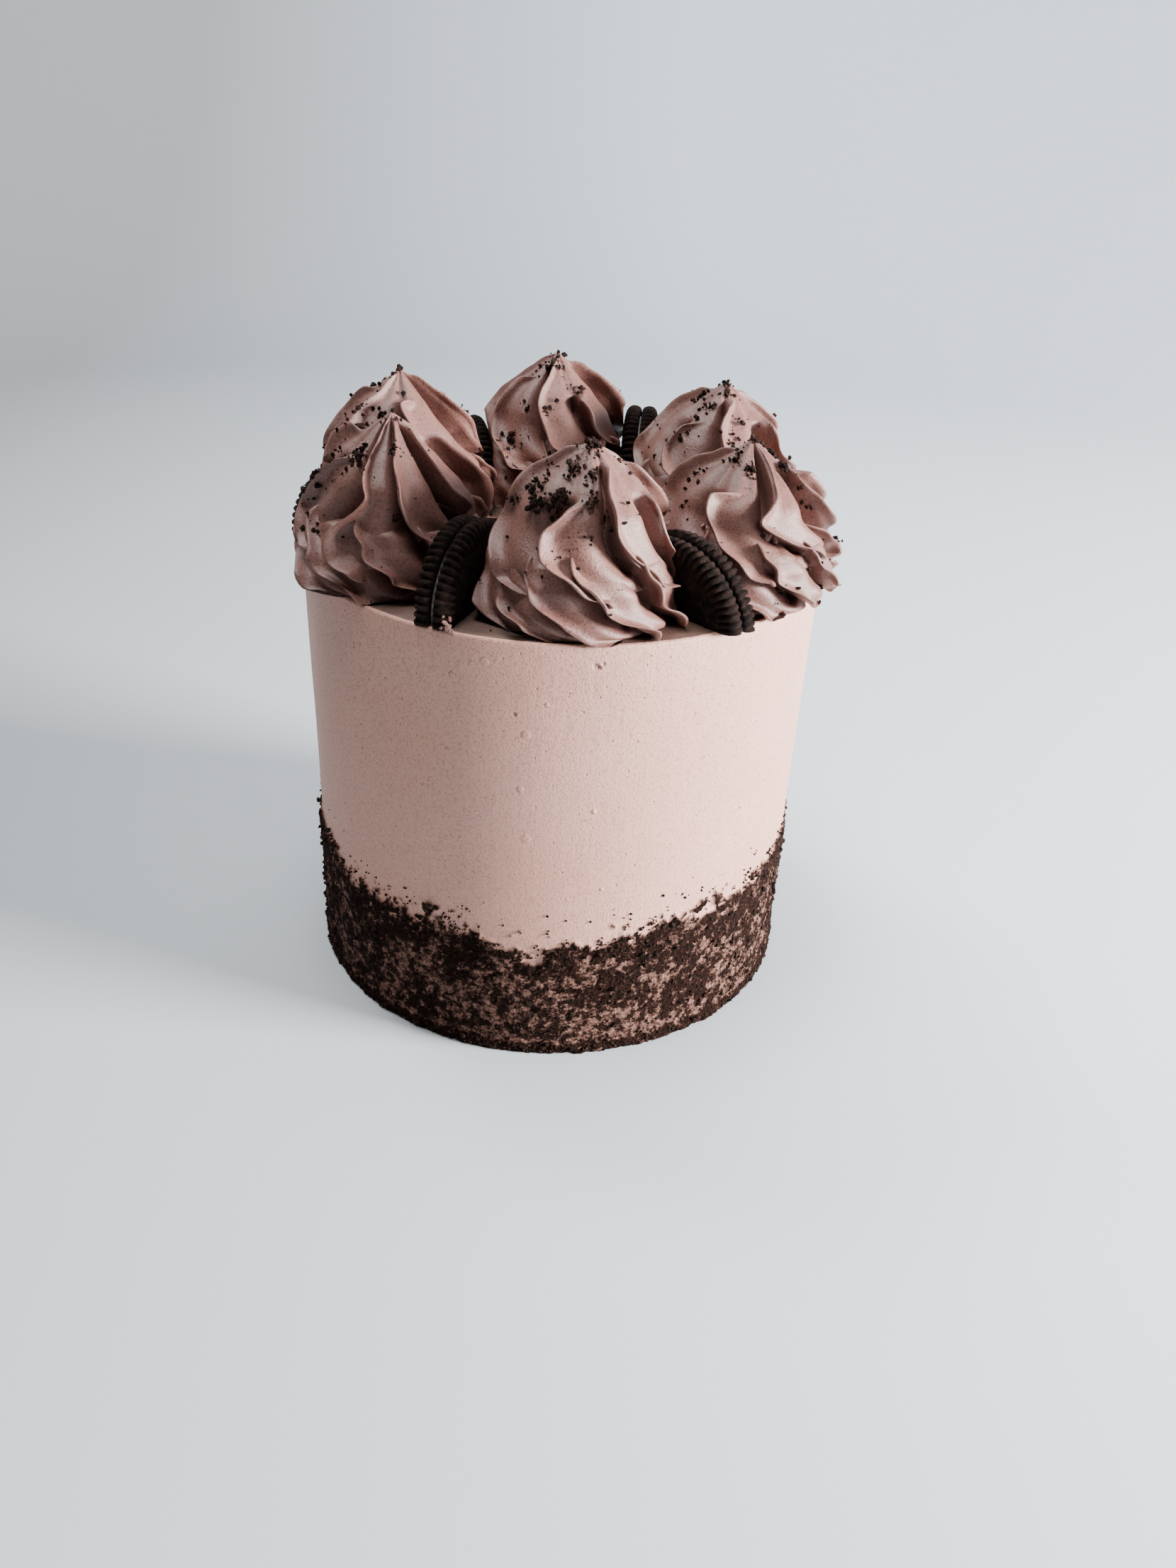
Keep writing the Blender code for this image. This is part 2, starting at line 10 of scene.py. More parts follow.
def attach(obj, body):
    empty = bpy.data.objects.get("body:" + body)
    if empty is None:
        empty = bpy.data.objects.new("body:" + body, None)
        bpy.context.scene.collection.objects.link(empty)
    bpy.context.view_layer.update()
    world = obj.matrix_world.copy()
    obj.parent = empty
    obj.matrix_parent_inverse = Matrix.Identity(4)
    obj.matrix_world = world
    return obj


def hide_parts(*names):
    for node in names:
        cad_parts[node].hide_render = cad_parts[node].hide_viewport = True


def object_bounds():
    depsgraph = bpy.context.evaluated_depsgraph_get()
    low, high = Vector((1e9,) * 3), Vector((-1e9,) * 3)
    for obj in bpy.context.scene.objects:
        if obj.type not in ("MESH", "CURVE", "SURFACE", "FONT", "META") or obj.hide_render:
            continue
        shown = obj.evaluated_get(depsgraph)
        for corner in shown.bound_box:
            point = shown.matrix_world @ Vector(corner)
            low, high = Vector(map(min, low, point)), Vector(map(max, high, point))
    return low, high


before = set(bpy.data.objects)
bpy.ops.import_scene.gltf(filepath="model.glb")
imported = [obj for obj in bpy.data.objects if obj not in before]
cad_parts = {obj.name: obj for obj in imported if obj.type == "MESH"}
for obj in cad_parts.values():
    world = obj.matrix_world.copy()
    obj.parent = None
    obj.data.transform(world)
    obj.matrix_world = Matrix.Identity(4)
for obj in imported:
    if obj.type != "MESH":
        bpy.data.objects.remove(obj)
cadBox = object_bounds()
mm = 0.001

# The cake's axis is the middle of the ring of points at its top height
cakePoints = np.array([tuple(v.co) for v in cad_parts["cake"].data.vertices])
cakeTop = float(cakePoints[:, 2].max())
axis = cakePoints[cakePoints[:, 2] > cakeTop - 0.01 * mm][:, :2].mean(0)
print("frame loaded, axis of the cake at", axis, "top at", cakeTop)


# An sRGB hex colour as linear RGBA
def linear(hexColour):
    parts = [int(hexColour[i:i + 2], 16) / 255 for i in (1, 3, 5)]
    return tuple(c / 12.92 if c <= 0.04045 else ((c + 0.055) / 1.055) ** 2.4 for c in parts) + (1.0,)


# Adds a shader node and gives back one of its outputs, the first unless out names another. The values
# are for its inputs: another node's output is linked, a hex colour is made linear. The settings are
# the node's own properties. A Mix node mixes colours.
def addNode(material, kind, values=None, out=0, **settings):
    node = material.node_tree.nodes.new("ShaderNode" + kind)
    if kind == "Mix":
        node.data_type, out = "RGBA", 2
    for key, value in settings.items():
        setattr(node, key, value)
    for socket, value in (values or {}).items():
        if isinstance(value, bpy.types.NodeSocket):
            material.node_tree.links.new(value, node.inputs[socket])
        else:
            node.inputs[socket].default_value = linear(value) if isinstance(value, str) else value
    return node.outputs[out] if len(node.outputs) else None


# An empty material, addNode for it, and the place of each point of the piece that wears it
def newMaterial(name):
    material = bpy.data.materials.new(name)
    material.use_nodes = True
    material.node_tree.nodes.clear()
    add = partial(addNode, material)
    return material, add, add("TexCoord", out="Object")


def closeMaterial(material, values):
    addNode(material, "OutputMaterial", {"Surface": addNode(material, "BsdfPrincipled", values)})
    return material


# A mesh object from an array of points, a list of faces, a material and numbers kept per point
def newPiece(name, points, faces, material, smooth=True, **perPoint):
    mesh = bpy.data.meshes.new(name)
    mesh.from_pydata(np.asarray(points).tolist(), [], faces)
    for key, values in perPoint.items():
        mesh.attributes.new(key, "FLOAT", "POINT").data.foreach_set("value", np.asarray(values, np.float32))
    mesh.polygons.foreach_set("use_smooth", [smooth] * len(mesh.polygons))
    mesh.materials.append(material)
    piece = bpy.data.objects.new(name, mesh)
    bpy.context.scene.collection.objects.link(piece)
    return piece


# Turns the faces of a closed piece outward, once it is cut off level at the height, if one is given
def closePiece(piece, height=None):
    shape = bmesh.new()
    shape.from_mesh(piece.data)
    if height is not None:
        cut = bmesh.ops.bisect_plane(shape, geom=shape.verts[:] + shape.edges[:] + shape.faces[:],
                                     plane_co=(0, 0, height), plane_no=(0, 0, 1), clear_inner=True)
        edges = [item for item in cut["geom_cut"] if isinstance(item, bmesh.types.BMEdge)]
        bmesh.ops.triangle_fill(shape, use_beauty=True, edges=edges)
    bmesh.ops.recalc_face_normals(shape, faces=shape.faces)
    shape.to_mesh(piece.data)
    shape.free()


# Patterns worked out on the points of a mesh

def hashed(i, j, seed):
    value = np.sin(i * 127.1 + j * 311.7 + seed * 74.7) * 43758.5453
    return value - np.floor(value)


# Soft lumps 0 to 1 on a grid that closes on itself after so many columns
def softNoise(u, v, columns, seed):
    iu, iv = np.floor(u), np.floor(v)
    fu, fv = u - iu, v - iv
    fu, fv = fu * fu * (3 - 2 * fu), fv * fv * (3 - 2 * fv)
    corners = [hashed(np.mod(iu + du, columns), iv + dv, seed) for dv in (0, 1) for du in (0, 1)]
    low = corners[0] + (corners[1] - corners[0]) * fu
    high = corners[2] + (corners[3] - corners[2]) * fu
    return low + (high - low) * fv


# Distance to the nearest grain, in grains, and that grain's own number 0 to 1
def grains(u, v, columns, seed):
    scatter = 0.85     # how far a grain may lie from the middle of its cell, in cells
    iu, iv = np.floor(u), np.floor(v)
    nearest = np.full(np.shape(u), 9.0)
    number = np.zeros(np.shape(u))
    for du in (-1, 0, 1):
        for dv in (-1, 0, 1):
            cu, cv = iu + du, iv + dv
            key = np.mod(cu, columns)
            gu = cu + 0.5 + scatter * (hashed(key, cv, seed) - 0.5)
            gv = cv + 0.5 + scatter * (hashed(key, cv, seed + 3.1) - 0.5)
            distance = np.hypot(u - gu, v - gv)
            closer = distance < nearest
            nearest = np.where(closer, distance, nearest)
            number = np.where(closer, hashed(key, cv, seed + 7.7), number)
    return nearest, number


def smoothStep(value, low, high):
    share = np.clip((value - low) / (high - low), 0, 1)
    return share * share * (3 - 2 * share)


# Nought below nought and the value above it, with a soft bend between
def softBend(value, soft):
    return soft * np.log1p(np.exp(np.clip(value / soft, -30, 30)))


# The line through the given values with its corners rounded off
def softLine(at, places, values, softness=0.06, samples=801):
    grid = np.linspace(places[0], places[-1], samples)
    line = np.interp(grid, places, values)
    width = int(softness * samples) | 1
    weight = np.hanning(width + 2)[1:-1]
    padded = np.pad(line, width // 2, mode="reflect", reflect_type="odd")
    return np.interp(at, grid, np.convolve(padded, weight / weight.sum(), "valid"))


# Faces between rings of points that follow each other; start is the number of the first point
def ringFaces(rows, columns, start=0):
    i, j = np.meshgrid(np.arange(rows - 1), np.arange(columns), indexing="ij")
    k = (j + 1) % columns
    quads = np.stack([i * columns + j, i * columns + k, (i + 1) * columns + k, (i + 1) * columns + j], -1)
    return (quads.reshape(-1, 4) + start).tolist()


# The same rings closed at both ends
def tubeFaces(rows, columns, start=0):
    last = start + (rows - 1) * columns
    ends = [list(range(start + columns - 1, start - 1, -1)), list(range(last, last + columns))]
    return ringFaces(rows, columns, start) + ends


# Air holes (inwards) and small lumps in the smooth wall, where they show: direction from the cake's axis
# in degrees, height and radius in mm, and how far they stand out
wallMarks = (
    (-83.3, 129.5, 1.0, -1.0), (-82.7, 129.1, 0.8, -0.8), (-81.9, 130.2, 0.7, -0.7),
    (-98.5, 114.8, 0.75, -1.0), (-81.2, 123.6, 0.45, -0.8), (-75.5, 122.6, 0.4, -0.7),
    (-111.2, 123.6, 0.7, 0.8), (-104.5, 128.7, 1.3, 0.5), (-96.2, 109.0, 1.4, 0.5),
    (-97.0, 92.1, 1.2, 0.6), (-112.5, 100.9, 0.6, 0.7), (-108.1, 63.7, 0.7, 0.9), (-95.7, 76.7, 1.5, 0.4),
    (-104.9, 100.6, 0.5, 0.7), (-92.3, 118.2, 0.7, 0.5), (-124.1, 66.0, 0.6, 0.7),
    (-106.1, 83.0, 0.7, 0.5), (-82.1, 85.8, 0.9, 0.7), (-79.5, 59.8, 0.9, 0.7), (-45.8, 76.1, 0.5, -1.0))


# Smooth cookie buttercream: butter and sugar beaten with crushed cookie and scraped flat. The eye
# sees a satin pinkish beige with a fine reddish-brown grain, a few dark specks and pin-prick bubbles.
def smoothButtercream():
    look = dict(
        # The top's two tones are darker than the wall's: partly crushed cookie, partly painted shade
        pale="#C39585", warm="#BF8D7B", grain="#7E5343", speck="#33201A", top="#644D43", topGrainAndShade="#382820",
        crumb="#0B0402", crumbLight="#2E1810", smear="#573A30", smearLight="#A07B6F",
        roughness=0.46, crumbRoughness=0.9, gloss=0.5, crumbGloss=0.08, ior=1.46,
        grainSize=0.65 * mm,     # the real grain is about 0.15 mm; drawn coarser so that it shows
        speckPitch=2.1 * mm, speckShare=0.10, bubblePitch=4.2 * mm, bubbleShare=0.10, fineSize=0.8 * mm,
        mottleSize=2.6 * mm, streakSize=2.2 * mm, cloudSize=38.0 * mm,
        lumpReach=77.9 * mm, holeReach=77.5 * mm)     # of the marks' middles, from the cake's axis
    material, add, place = newMaterial("smoothCookieButtercream")

    clouds = add("TexNoise", {"Vector": place, "Scale": 1 / look["cloudSize"], "Detail": 3.0})
    cloudy = add("MapRange", {"Value": clouds, "From Min": 0.3, "From Max": 0.75})
    base = add("Mix", {0: cloudy, 6: look["pale"], 7: look["warm"]})

    grain = add("TexNoise", {"Vector": place, "Scale": 1 / look["grainSize"], "Detail": 4.0,
                             "Roughness": 0.75})
    grainy = add("MapRange", {"Value": grain, "From Min": 0.49, "From Max": 0.66, "To Max": 0.65})
    wallGrain = add("Mix", {0: grainy, 6: base, 7: look["grain"]})
    # The top is darker than the wall: partly crushed cookie ground into the scraped cream, partly painted
    # shade of the top, which the low lamps hardly reach
    topGrainAndShade = add("Mix", {0: grainy, 6: look["top"], 7: look["topGrainAndShade"]})
    onTop = add("Attribute", attribute_name="top", out="Fac")
    withGrain = add("Mix", {0: onTop, 6: wallGrain, 7: topGrainAndShade})

    specks = add("TexVoronoi", {"Vector": place, "Scale": 1 / look["speckPitch"]})
    specked = add("MapRange", {"Value": specks, "From Min": look["speckShare"],
                               "From Max": look["speckShare"] * 0.6, "To Max": 0.85})
    withSpecks = add("Mix", {0: specked, 6: withGrain, 7: look["speck"]})

    # Cocoa crumbs pressed into the wall, and smears of buttercream over them, as the mesh carries them
    cocoa = add("Attribute", attribute_name="cocoa", out="Fac")
    smear = add("Attribute", attribute_name="smear", out="Fac")
    fine = add("TexNoise", {"Vector": place, "Scale": 1 / look["fineSize"], "Detail": 4.0, "Roughness": 0.7})
    dusty = add("MapRange", {"Value": fine, "From Min": 0.42, "From Max": 0.68})
    crumbTone = add("Mix", {0: dusty, 6: look["crumb"], 7: look["crumbLight"]})
    smearTone = add("Mix", {0: dusty, 6: look["smear"], 7: look["smearLight"]})
    mottle = add("TexNoise", {"Vector": place, "Scale": 1 / look["mottleSize"], "Detail": 5.0,
                              "Roughness": 0.72})
    smeared = add("Math", {0: smear, 1: 0.13, 2: mottle}, operation="MULTIPLY_ADD")
    showing = add("MapRange", {"Value": smeared, "From Min": 0.575, "From Max": 0.69})
    crumbs = add("Mix", {0: showing, 6: crumbTone, 7: smearTone})
    colour = add("Mix", {0: cocoa, 6: withSpecks, 7: crumbs})

    # The marks in the wall, and painted shade down in the holes
    marks = 0.0
    for direction, height, size, stands in wallMarks:
        reach = look["lumpReach"] if stands > 0 else look["holeReach"]
        centre = (axis[0] + reach * math.cos(math.radians(direction)),
                  axis[1] + reach * math.sin(math.radians(direction)), height * mm)
        near = add("VectorMath", {0: place, 1: centre}, out="Value", operation="DISTANCE")
        raised = add("MapRange", {"Value": near, "From Min": size * 1.15 * mm, "From Max": size * 0.45 * mm,
                                  "To Max": stands}, interpolation_type="SMOOTHSTEP")
        marks = add("Math", {0: marks, 1: raised}, operation="ADD")
    sunk = add("MapRange", {"Value": marks, "From Min": -0.3, "From Max": -1.0, "To Max": 0.6})
    colour = add("Mix", {0: sunk, 6: colour, 7: look["speck"]})

    # The faint upright streaks of the scraper, bubbles, marks, the fine grain and the crumbs
    stretched = add("Mapping", {"Vector": place, "Scale": (1.0, 1.0, 0.12)})
    streaks = add("TexNoise", {"Vector": stretched, "Scale": 1 / look["streakSize"], "Detail": 2.0})
    bubbles = add("TexVoronoi", {"Vector": place, "Scale": 1 / look["bubblePitch"]})
    pricked = add("MapRange", {"Value": bubbles, "From Max": look["bubbleShare"]})
    relief = add("Bump", {"Height": streaks, "Strength": 0.2, "Distance": 0.6 * mm})
    for height, strength, depth in (
            (pricked, 1.0, 0.6 * mm), (marks, 1.0, 0.6 * mm), (grain, 0.7, 0.4 * mm),
            (fine, cocoa, 0.9 * mm)):
        relief = add("Bump", {"Height": height, "Strength": strength, "Distance": depth, "Normal": relief})
    rough = add("MapRange", {"Value": cocoa, "To Min": look["roughness"], "To Max": look["crumbRoughness"]})
    gloss = add("MapRange", {"Value": cocoa, "To Min": look["gloss"], "To Max": look["crumbGloss"]})
    return closeMaterial(material, {
        "Base Color": colour, "Roughness": rough, "IOR": look["ior"], "Specular IOR Level": gloss,
        "Subsurface Weight": 0.06, "Subsurface Radius": (0.003, 0.0016, 0.0010), "Subsurface Scale": 1.0,
        "Normal": relief})


# Piped cookie buttercream: the same cream, darker with more crushed cookie and pushed through a
# star tip. The eye sees a soft mauve brown with a sheen on its left folds, fine grain and specks.
def pipedButtercream():
    look = dict(
        light="#815B52", deep="#69463E", grain="#3E2721", speck="#24140F", roughness=0.40, ior=1.46,
        grainSize=0.65 * mm,     # the real grain is about 0.15 mm; drawn coarser so that it shows
        speckPitch=1.9 * mm, speckShare=0.11, cloudSize=14.0 * mm)
    material, add, place = newMaterial("pipedCookieButtercream")
    clouds = add("TexNoise", {"Vector": place, "Scale": 1 / look["cloudSize"], "Detail": 3.0})
    base = add("Mix", {0: clouds, 6: look["light"], 7: look["deep"]})
    grain = add("TexNoise", {"Vector": place, "Scale": 1 / look["grainSize"], "Detail": 4.0,
                             "Roughness": 0.75})
    grainy = add("MapRange", {"Value": grain, "From Min": 0.49, "From Max": 0.64, "To Max": 0.7})
    withGrain = add("Mix", {0: grainy, 6: base, 7: look["grain"]})
    specks = add("TexVoronoi", {"Vector": place, "Scale": 1 / look["speckPitch"]})
    specked = add("MapRange", {"Value": specks, "From Min": look["speckShare"],
                               "From Max": look["speckShare"] * 0.6, "To Max": 0.8})
    colour = add("Mix", {0: specked, 6: withGrain, 7: look["speck"]})
    relief = add("Bump", {"Height": grain, "Strength": 0.6, "Distance": 0.3 * mm})
    return closeMaterial(material, {
        "Base Color": colour, "Roughness": look["roughness"], "IOR": look["ior"], "Subsurface Weight": 0.03,
        "Subsurface Radius": (0.002, 0.0014, 0.0011), "Subsurface Scale": 1.0, "Normal": relief})


# Baked cocoa wafer: moulded dough with black cocoa, dry and open-grained. The eye sees a matt
# near-black brown that turns a dusty brown on worn edges.
def cocoaWafer():
    look = dict(dark="#0A0504", dusty="#32211A", roughness=0.85, ior=1.4, gloss=0.14, grainSize=0.7 * mm,
                cloudSize=2.2 * mm)
    material, add, place = newMaterial("bakedCocoaWafer")
    clouds = add("TexNoise", {"Vector": place, "Scale": 1 / look["cloudSize"], "Detail": 5.0,
                              "Roughness": 0.7})
    dust = add("MapRange", {"Value": clouds, "From Min": 0.42, "From Max": 0.70, "To Max": 0.9})
    colour = add("Mix", {0: dust, 6: look["dark"], 7: look["dusty"]})
    grain = add("TexNoise", {"Vector": place, "Scale": 1 / look["grainSize"], "Detail": 5.0,
                             "Roughness": 0.8})
    relief = add("Bump", {"Height": grain, "Strength": 1.0, "Distance": 0.5 * mm})
    return closeMaterial(material, {
        "Base Color": colour, "Roughness": look["roughness"], "IOR": look["ior"],
        "Specular IOR Level": look["gloss"], "Normal": relief})


# Crushed wafer: dry crumbs of the same dough. The eye sees rough grains, each a little lighter or
# darker than the next.
def waferCrumb():
    look = dict(dark="#0E0603", light="#3C2319", roughness=0.85, ior=1.5, gloss=0.14, grainSize=0.5 * mm)
    material, add, place = newMaterial("crushedCocoaWafer")
    tone = add("Attribute", attribute_name="tone", out="Fac")
    colour = add("Mix", {0: tone, 6: look["dark"], 7: look["light"]})
    grain = add("TexNoise", {"Vector": place, "Scale": 1 / look["grainSize"], "Detail": 3.0})
    relief = add("Bump", {"Height": grain, "Strength": 1.0, "Distance": 0.25 * mm})
    return closeMaterial(material, {
        "Base Color": colour, "Roughness": look["roughness"], "IOR": look["ior"],
        "Specular IOR Level": look["gloss"], "Normal": relief})


# Vanilla cream filling: sugar and fat whipped stiff. The eye sees a chalky off-white.
def vanillaCream():
    look = dict(white="#D9D1C6", shade="#B9AB9C", roughness=0.55, ior=1.46, grainSize=1.2 * mm)
    material, add, place = newMaterial("vanillaCreamFilling")
    grain = add("TexNoise", {"Vector": place, "Scale": 1 / look["grainSize"], "Detail": 4.0})
    colour = add("Mix", {0: grain, 6: look["white"], 7: look["shade"]})
    relief = add("Bump", {"Height": grain, "Strength": 0.4, "Distance": 0.2 * mm})
    return closeMaterial(material, {
        "Base Color": colour, "Roughness": look["roughness"], "IOR": look["ior"], "Subsurface Weight": 0.2,
        "Subsurface Radius": (0.002, 0.0016, 0.0012), "Subsurface Scale": 1.0, "Normal": relief})


buttercream = smoothButtercream()
pipedCream = pipedButtercream()
wafer = cocoaWafer()
crumb = waferCrumb()
filling = vanillaCream()
print("materials made")


# Cake body: smooth wall and top, with the relief of the crumb band worked into the foot of the wall

cakeBody = dict(
    height=0.1352, topRadius=0.0779, footRadius=0.0768, middleRadiusMm=77.3, edgeRounding=0.9 * mm,
    bandTopRow=56 * mm, bandRow=0.62 * mm, bandColumns=680, grainMm=1.15, clumpMm=3.2, reliefMm=1.25,
    mostReliefMm=2.15, footLineMm=3.0, upperRows=30, edgeRows=7,
    crumbRows=8,     # rows above the band's own that stray crumbs still reach
    waviness=0.22 * mm, waveFrom=45 * mm, waveFull=60 * mm, tornEdge=0.16 * mm,
    topInsetsMm=(1.15, 1.5, 1.9, 2.3, 3, 4, 6, 9, 13, 19, 26, 34, 44, 56, 68))

# Height of the band's upper edge (mm) by direction in degrees
bandEdge = (
    (-180, 46.0), (-160, 47.0), (-150, 44.0), (-135, 41.0), (-120, 43.0), (-112, 44.0), (-103, 39.5),
    (-95, 37.5), (-88, 39.5), (-75, 41.5), (-60, 45.5), (-45, 45.5), (-30, 48.0), (-10, 50.0), (20, 46.0),
    (50, 43.0), (80, 46.0), (110, 44.0), (140, 42.0), (165, 45.0), (180, 46.0))


def bandTop(angle):
    degrees = (np.degrees(angle) + 180) % 360 - 180
    directions, heights = zip(*bandEdge)
    return np.interp(degrees, directions, heights) * mm


def wallRadius(z):
    return cakeBody["footRadius"] + (cakeBody["topRadius"] - cakeBody["footRadius"]) * z / cakeBody["height"]


# A pattern on the wall: softNoise or grains of one size in millimetres
def onWall(pattern, angle, z, size, seed):
    columns = round(2 * math.pi * cakeBody["middleRadiusMm"] / size)
    return pattern(angle / (2 * math.pi) * columns, z / (size * mm), columns, seed)


# How thick the crumbs lie at a place of the wall, 0 to 1, and how far buttercream is smeared over them
def bandCover(angle, z):
    above = (z - bandTop(angle)) / mm
    ragged = 5.0 * (onWall(softNoise, angle, z, 6.0, 1.0) - 0.5)
    ragged = ragged + 7.0 * (onWall(softNoise, angle, z, 1.9, 2.0) - 0.5)
    cover = 1 - smoothStep(above + 1.25 * ragged, -4.2, 2.4)
    cloud = 0.55 * onWall(softNoise, angle, z, 6.5, 3.0) + 0.45 * onWall(softNoise, angle, z, 2.4, 4.0)
    front = 0.5 - 0.5 * np.sin(angle + 0.5)
    lower = 1 - smoothStep(z / mm, 18, 42)
    strip = np.exp(-(((z / mm) - 4.8) / 1.5) ** 2)
    smear = smoothStep(cloud + 0.19 * lower * front + 0.2 * strip, 0.35, 0.85)
    return cover, smear * smoothStep(z / mm, 2.4, 3.8)


def bandRelief(angle, z):
    cover, smear = bandCover(angle, z)
    body = cakeBody
    near, number = onWall(grains, angle, z, body["grainMm"], 5.0)
    nearFine, numberFine = onWall(grains, angle, z, 0.62 * body["grainMm"], 6.0)
    clump = onWall(softNoise, angle, z, body["clumpMm"], 7.0)
    there = number < cover * 1.02
    lump = np.sqrt(np.clip(1 - (near / 0.78) ** 2, 0, 1))
    lump = lump * (0.35 + 0.65 * hashed(number * 91, 1.0, 3.0)) * there
    small = np.sqrt(np.clip(1 - (nearFine / 0.75) ** 2, 0, 1)) * (numberFine < cover)
    foot = 1 - smoothStep(z / mm, body["footLineMm"] - 0.4, body["footLineMm"] + 0.8)
    relief = (0.62 * lump + 0.25 * small + 0.35 * clump * cover) * (1 - 0.35 * smear) + 0.15 * cover * smear
    relief = relief * np.maximum(smoothStep(cover, 0.3, 0.75), 0.8 * there)
    relief = body["reliefMm"] * relief + 0.7 * foot * (0.4 + 0.6 * clump)
    cocoa = np.clip(np.maximum(there * smoothStep(lump, 0.05, 0.3), smoothStep(cover, 0.35, 0.75)), 0, 1)
    return np.clip(relief, 0, body["mostReliefMm"]) * mm, np.maximum(cocoa, foot), smear * (1 - foot)


def makeCakeBody():
    edge = cakeBody["edgeRounding"]
    rows = list(np.arange(0, cakeBody["bandTopRow"], cakeBody["bandRow"]))
    split = len(rows)
    rows += list(np.linspace(cakeBody["bandTopRow"], cakeTop - 3 * mm, cakeBody["upperRows"]))
    rings = [(z, 0.0) for z in rows]
    for a in np.linspace(0, math.pi / 2, cakeBody["edgeRows"]):
        rings.append((cakeTop - edge + edge * math.sin(a), edge * (1 - math.cos(a))))
    rings += [(cakeTop, inset * mm) for inset in cakeBody["topInsetsMm"]]
    points, cocoas, smears, tops, counts = [], [], [], [], []
    for i, (z, inset) in enumerate(rings):
        columns = cakeBody["bandColumns"] if i < split else cakeBody["bandColumns"] // 2
        angle = np.arange(columns) * 2 * math.pi / columns
        relief, cocoa, smear = np.zeros(columns), np.zeros(columns), np.zeros(columns)
        if i < split + cakeBody["crumbRows"]:
            relief, cocoa, smear = bandRelief(angle, np.full(columns, z))
        wave = onWall(softNoise, angle, np.full(columns, z), 26.0, 8.0) - 0.5
        wave = wave + 0.35 * (onWall(softNoise, angle, np.full(columns, z * 0.15), 9.0, 9.0) - 0.5)
        fade = smoothStep(z, cakeBody["waveFrom"], cakeBody["waveFull"])
        fade = fade * (1 - smoothStep(z, cakeTop - 4 * mm, cakeTop - 1 * mm))
        radius = wallRadius(z) - inset + relief + cakeBody["waviness"] * wave * fade
        height = np.full(columns, z)
        if inset > edge:
            torn = softNoise(angle * 57.3, angle * 0, 360, 4.0)
            height -= cakeBody["tornEdge"] * np.exp(-((inset / mm - 1.5) / 0.4) ** 2) * (0.3 + 0.7 * torn)
            rough = onWall(softNoise, angle, np.full(columns, inset * 0.8), 3.0, 10.0) - 0.5
            height += cakeBody["tornEdge"] * (rough - 0.5) * smoothStep(inset / mm, 1.2, 2.2)
        # A ragged line just in from the edge, where the top's darker colour begins: partly crushed cookie,
        # partly painted shade
        ragged = 0.5 * (softNoise(angle * 90, angle * 0, 565, 5.0) - 0.5)
        tops.append(smoothStep(inset / mm + ragged, 0.95, 1.35))
        across, along = axis[0] + radius * np.cos(angle), axis[1] + radius * np.sin(angle)
        points.append(np.stack([across, along, height], -1))
        cocoas.append(cocoa)
        smears.append(smear)
        counts.append(columns)
    faces = [list(range(counts[0] - 1, -1, -1))]
    start = 0
    for below, above in zip(counts, counts[1:]):
        upper = start + below
        if below == above:
            j = np.arange(below)
            k = (j + 1) % below
            faces += np.stack([start + j, start + k, upper + k, upper + j], -1).tolist()
        else:
            j = np.arange(above)
            k, left, middle, right = (j + 1) % above, 2 * j, 2 * j + 1, (2 * j + 2) % below
            faces += np.stack([start + left, start + middle, upper + j], -1).tolist()
            faces += np.stack([start + middle, upper + k, upper + j], -1).tolist()
            faces += np.stack([start + middle, start + right, upper + k], -1).tolist()
        start = upper
    faces.append([start + c for c in range(counts[-1])])
    body = newPiece("cakeBody", np.concatenate(points), faces, buttercream,
                    cocoa=np.concatenate(cocoas), smear=np.concatenate(smears), top=np.concatenate(tops))
    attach(body, "root")
    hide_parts("cake")
    return body


cakePiece = makeCakeBody()
print("cake body made,", len(cakePiece.data.polygons), "faces")


# Half sandwich cookies, stood on the cut between the swirls

cookie = dict(
    radius=22.1 * mm, wafer=4.0 * mm, cream=2.8 * mm, creamRadius=18.6 * mm, creamGap=0.05 * mm,
    worn=0.12 * mm, toothDepth=0.95 * mm, toothRise=0.75 * mm, teeth=62, stepsPerTooth=7, creamSteps=200,
    seatGap=0.05 * mm)

# Middle of the cut edge from the cake's axis, direction in plan (degrees), lean and height of the disc,
# and how far each rim swells over the cream (mm)
cookies = {
    "cookie_front_left": dict(at=(-0.0259, -0.0504), along=68.0, lean=0.0, rise=0.0005, swell=0.8),
    "cookie_front_right": dict(at=(0.0330, -0.0505), along=-46.0, lean=8.0, rise=-0.0006, swell=0.9),
    "cookie_right": dict(at=(0.0579, 0.0030), along=3.0, lean=0.0, rise=0.0008, swell=0.6),
    "cookie_back_right": dict(at=(0.0245, 0.0560), along=84.0, lean=0.0, rise=0.0060, swell=1.15),
    "cookie_back_left": dict(at=(-0.0327, 0.0554), along=105.0, lean=0.0, rise=0.0005, swell=0.1),
    "cookie_left": dict(at=(-0.0600, 0.0010), along=179.0, lean=0.0, rise=0.0010, swell=0.6),
}


def cookieAxes(place):
    along = math.radians(place["along"])
    direction = Vector((math.cos(along), math.sin(along), 0.0))
    flatNormal = Vector((-direction.y, direction.x, 0.0))
    tilt = Matrix.Rotation(math.radians(place["lean"]), 3, direction)
    return np.array(direction), np.array(tilt @ flatNormal), np.array(tilt @ Vector((0, 0, 1)))


